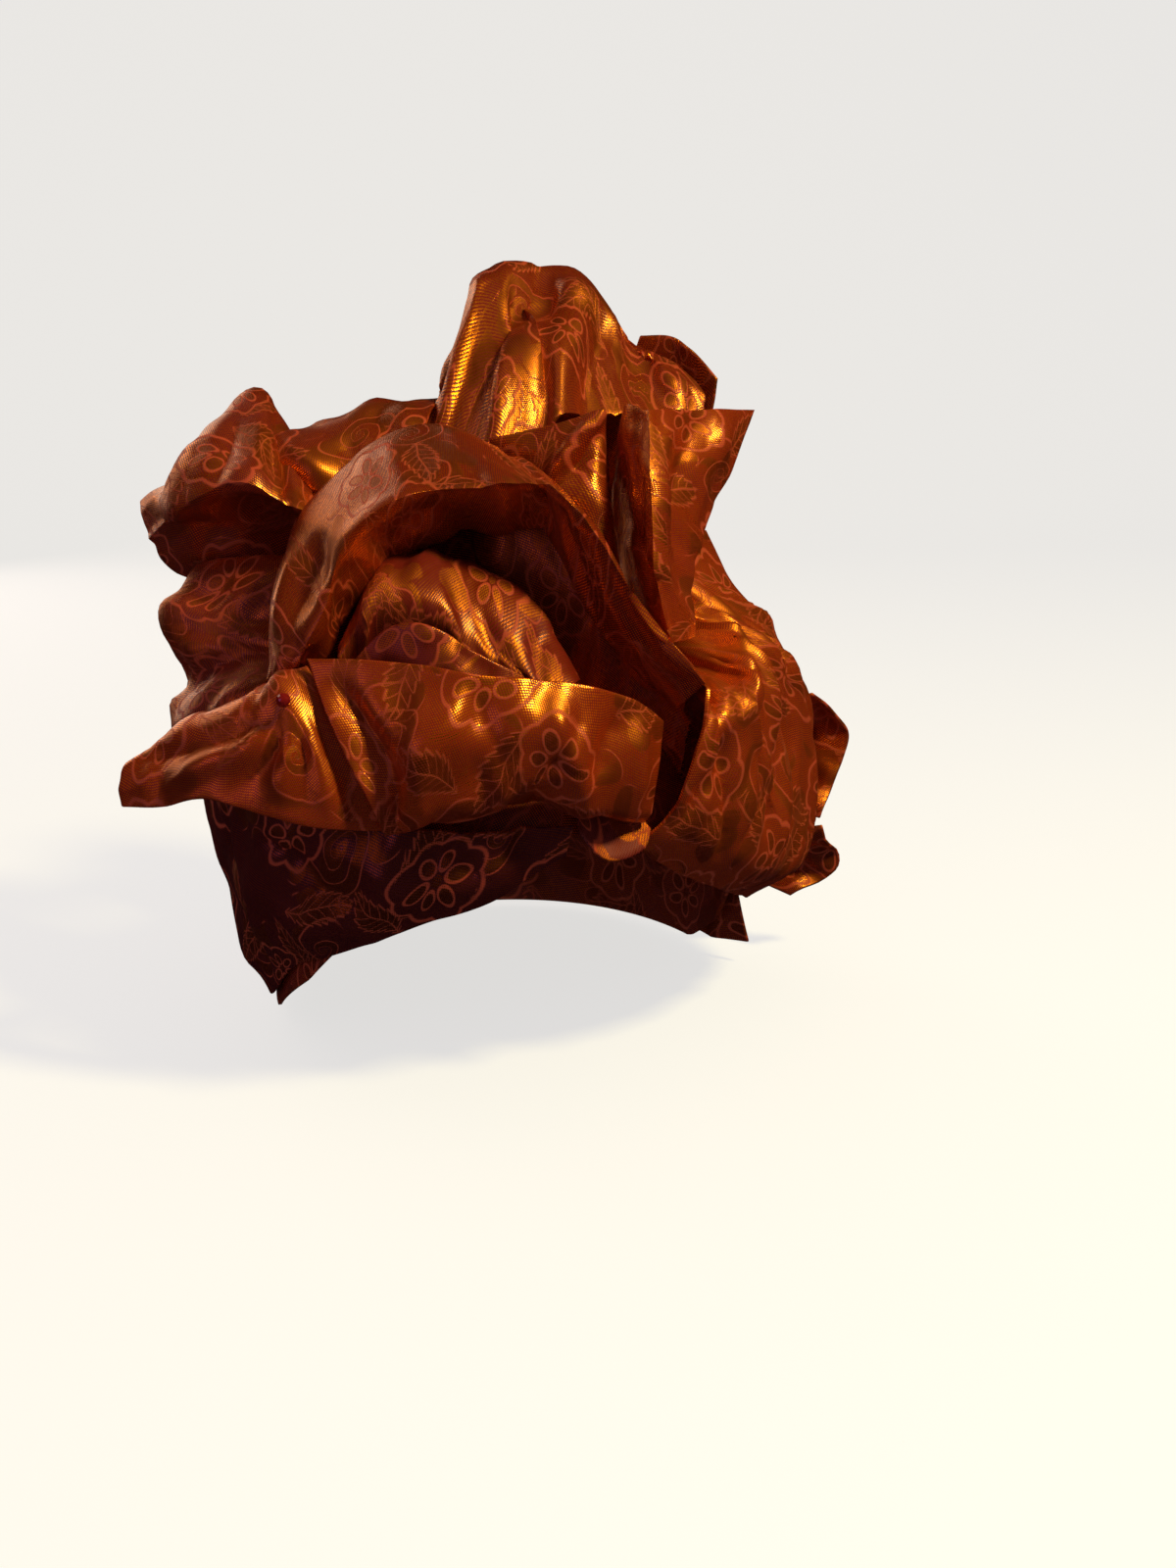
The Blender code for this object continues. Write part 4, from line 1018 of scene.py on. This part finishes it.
fold_petal(
    "peak_petal", 6,
    sections=(
        # foot, crest, face, low
        ((-150, 66), (-0.22, 0.02, 1.70), (-0.28, -0.07, 1.64), (-0.33, -0.16, 1.55)),
        ((-168, 64), (-0.05, 0.16, 1.90), (-0.10, -0.05, 1.74), (-0.14, -0.30, 1.52)),
        ((-186, 62), (0.19, 0.29, 2.00), (0.16, -0.10, 1.84), (0.09, -0.35, 1.50)),
        ((-192, 61), (0.29, 0.28, 1.98), (0.24, -0.08, 1.82), (0.17, -0.34, 1.60)),
        ((-200, 60), (0.42, 0.25, 1.92), (0.37, -0.01, 1.79), (0.30, -0.27, 1.61)),
        ((-212, 56), (0.60, 0.14, 1.77), (0.59, 0.00, 1.70), (0.53, -0.19, 1.60)),
        ((-222, 51), (0.81, 0.00, 1.66), (0.83, -0.04, 1.63), (0.82, -0.10, 1.60)),
    ),
    folds=(
        ((0.35, 0.60), (0.32, 1.20), 0.014, -0.0042),
        ((0.44, 0.66), (0.47, 1.30), 0.006, 0.0034),
        ((0.45, 0.86), (0.75, 0.69), 0.008, -0.0030),
        ((0.66, 0.75), (0.60, 1.09), 0.009, 0.0030),
        ((0.78, 0.67), (0.93, 0.74), 0.008, -0.0030),
    ),
    facets=((0.024, 0.042), 0.13),
    sharp_columns=(1,), sharp_rows=(2,), creases=13, height=0.00144, turn=-60,
)
fold_petal(
    "peak_flap", 7,
    sections=(
        # foot, low, rim
        ((150, 47), (0.52, 0.34, 1.50), (0.64, 0.27, 1.79)),
        ((142, 45), (0.70, 0.28, 1.52), (0.76, 0.22, 1.79)),
        ((132, 43), (0.86, 0.20, 1.50), (0.84, 0.17, 1.75)),
        ((122, 41), (0.90, 0.12, 1.50), (0.94, 0.10, 1.67)),
    ),
    facets=((0.012, 0.020), 0.14),
    creases=5, height=0.00096, turn=45,
)

# Right petals
# A short fan of pleats stands behind the right arm of the hood, and one sharply pointed petal
# leans out beside it. Both are double cloth, pinched together at the foot.
fold_petal(
    "fan_fold", 8,
    sections=(
        # foot, base, rim
        ((-14, 61), (-0.04, -0.42, 1.40), (-0.09, -0.44, 1.54)),
        ((2, 59), (0.06, -0.48, 1.40), (0.15, -0.46, 1.56)),
        ((14, 56), (0.15, -0.55, 1.36), (0.34, -0.50, 1.60)),
        ((24, 52), (0.27, -0.60, 1.24), (0.35, -0.45, 1.57)),
        ((29, 46), (0.36, -0.60, 1.12), (0.35, -0.42, 1.44)),
    ),
    folds=(
        ((0.50, 0.74), (0.63, 1.06), 0.005, 0.0030),
        ((0.63, 0.75), (0.64, 1.02), 0.004, -0.0020),
    ),
    facets=((0.012, 0.020), 0.10),
    sharp_rows=(2,), creases=4, height=0.00072, turn=0,
)
fold_petal(
    "right_petal", 9,
    sections=(
        # foot, slit, crease, edge
        ((47, 29), (0.51, -0.73, 1.02), (0.55, -0.80, 1.02), (0.65, -0.67, 1.02)),
        ((45, 35), (0.46, -0.69, 1.16), (0.49, -0.81, 1.16), (0.68, -0.57, 1.18)),
        ((43, 41), (0.43, -0.60, 1.32), (0.47, -0.77, 1.35), (0.74, -0.46, 1.30)),
        ((42, 46), (0.42, -0.52, 1.46), (0.47, -0.70, 1.48), (0.86, -0.38, 1.44)),
        ((41, 50), (0.42, -0.45, 1.60), (0.48, -0.61, 1.60), (0.98, -0.27, 1.60)),
    ),
    folds=(
        ((0.97, 0.85), (0.17, 0.45), 0.004, 0.0016),
        ((0.97, 1.00), (0.17, 0.53), 0.006, -0.0024),
        ((0.97, 1.11), (0.20, 0.67), 0.006, 0.0026),
        ((0.97, 1.25), (0.36, 0.89), 0.006, -0.0020),
    ),
    facets=((0.030, 0.012), 0.10),
    # The lighter warp here is painted light.
    sharp_columns=(2,), creases=5, height=0.00072, turn=30, warp=WARP_RUSSET_PAINTED_LIGHT,
)

# Front roll, left flap and tongue
# The last turn lies level across the brow as a flat roll, pinned at the left, where its end sticks
# out as a pointed flap. A small tongue of it hangs out under the right end, darkened as painted shade.
THREAD_SHADED = (0.10, 0.014, 0.004, 1)

fold_petal(
    "front_roll", 10,
    sections=(
        # foot, lip, face, rim
        ((-37, 18), (-0.58, -1.13, 0.30), (-0.69, -1.08, 0.68), (-0.81, -0.99, 1.03)),
        ((-31, 18), (-0.46, -1.15, 0.32), (-0.52, -1.17, 0.66), (-0.60, -1.07, 1.03)),
        ((-22, 18), (-0.34, -1.16, 0.35), (-0.36, -1.22, 0.68), (-0.41, -1.13, 1.02)),
        ((-12, 18), (-0.20, -1.17, 0.40), (-0.22, -1.24, 0.70), (-0.25, -1.18, 1.00)),
        ((0, 18), (-0.03, -1.17, 0.43), (0.00, -1.22, 0.70), (0.02, -1.18, 0.96)),
        ((9, 17), (0.16, -1.12, 0.34), (0.18, -1.18, 0.62), (0.20, -1.15, 0.90)),
        ((16, 16), (0.31, -1.06, 0.28), (0.32, -1.11, 0.52), (0.34, -1.09, 0.82)),
        ((21, 15), (0.40, -1.02, 0.25), (0.41, -1.05, 0.44), (0.43, -1.04, 0.72)),
    ),
    folds=(
        ((0.06, 1.28), (0.13, 0.76), 0.007, -0.0040),
        ((0.13, 0.76), (0.06, 0.61), 0.006, -0.0035),
        ((0.00, 1.33), (0.00, 0.70), 0.008, 0.0025),
        ((0.28, 1.07), (0.19, 0.59), 0.012, 0.0032),
        ((0.43, 0.97), (0.50, 0.43), 0.011, -0.0030),
        ((0.62, 0.79), (0.75, 0.36), 0.010, 0.0040),
        ((0.72, 0.77), (0.64, 0.43), 0.006, -0.0026),
        ((0.84, 0.74), (0.75, 0.42), 0.007, -0.0038),
        ((0.89, 0.66), (0.93, 0.27), 0.006, 0.0020),
    ),
    facets=((0.018, 0.024), 0.11),
    # The lighter warp here is painted light.
    creases=9, height=0.00108, turn=15, dulling_and_sheen=0.2, warp=WARP_RUSSET_PAINTED_LIGHT,
)
fold_petal(
    "left_flap", 11,
    sections=(
        # foot, upper, face, lower
        ((-70, 18), (-1.48, -0.68, 0.47), (-1.52, -0.72, 0.38), (-1.53, -0.75, 0.28)),
        ((-64, 20), (-1.30, -0.73, 0.64), (-1.36, -0.82, 0.50), (-1.38, -0.86, 0.33)),
        ((-58, 22), (-1.12, -0.82, 0.78), (-1.15, -0.94, 0.62), (-1.20, -0.96, 0.40)),
        ((-53, 23), (-1.00, -0.90, 0.88), (-1.00, -1.01, 0.66), (-1.03, -1.03, 0.35)),
        ((-48, 21), (-0.92, -0.93, 0.95), (-0.87, -1.05, 0.66), (-0.84, -1.09, 0.30)),
        ((-42, 20), (-0.83, -0.93, 0.98), (-0.715, -1.03, 0.66), (-0.60, -1.09, 0.26)),
    ),
    folds=(
        ((0.70, 0.75), (0.09, 0.72), 0.005, 0.0025),
        ((0.66, 0.77), (0.19, 0.84), 0.006, -0.0022),
        ((0.70, 0.81), (0.47, 0.95), 0.005, 0.0024),
        ((0.74, 0.82), (0.62, 1.03), 0.006, -0.0024),
        ((0.78, 0.83), (0.74, 1.09), 0.005, 0.0026),
        ((0.81, 0.79), (0.85, 1.15), 0.006, -0.0024),
        ((0.89, 0.79), (0.92, 1.16), 0.004, 0.0020),
    ),
    facets=((0.014, 0.030), 0.10),
    # The lighter warp here is painted light.
    creases=8, height=0.0012, turn=-20, dulling_and_sheen=0.2, warp=WARP_RUSSET_PAINTED_LIGHT,
)
fold_petal(
    "roll_tongue", 12,
    sections=(
        # foot, rim
        ((8, 22), (0.13, -1.04, 0.20)),
        ((12, 21), (0.24, -1.05, 0.06)),
        ((15, 20), (0.38, -1.02, 0.10)),
        ((18, 19), (0.41, -0.99, 0.18)),
    ),
    facets=((0.014, 0.012), 0.12),
    creases=1, height=0.00048, turn=50, dulling_and_sheen=0.8, gloss=0.50, thread=THREAD_SHADED,
)

# Dress pin
# A steel pin with a glossy dark red bead goes through the gathered cloth and holds the flap.
PIN_LACQUER = (0.16, 0.006, 0.006, 1)

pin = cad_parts["dress_pin"]
lacquer = bpy.data.materials.new("pin_lacquer")
lacquer.use_nodes = True
bead = lacquer.node_tree.nodes["Principled BSDF"]
bead.inputs["Base Color"].default_value = PIN_LACQUER
bead.inputs["Coat Weight"].default_value = 0.6
speck = add_node(lacquer.node_tree, "ShaderNodeTexNoise", Scale=900.0, Detail=2.0)
shine = maths(lacquer.node_tree, "MULTIPLY_ADD", speck.outputs[0], 0.10, 0.08)
lacquer.node_tree.links.new(shine, bead.inputs["Roughness"])
for slot in pin.material_slots:
    slot.material = lacquer
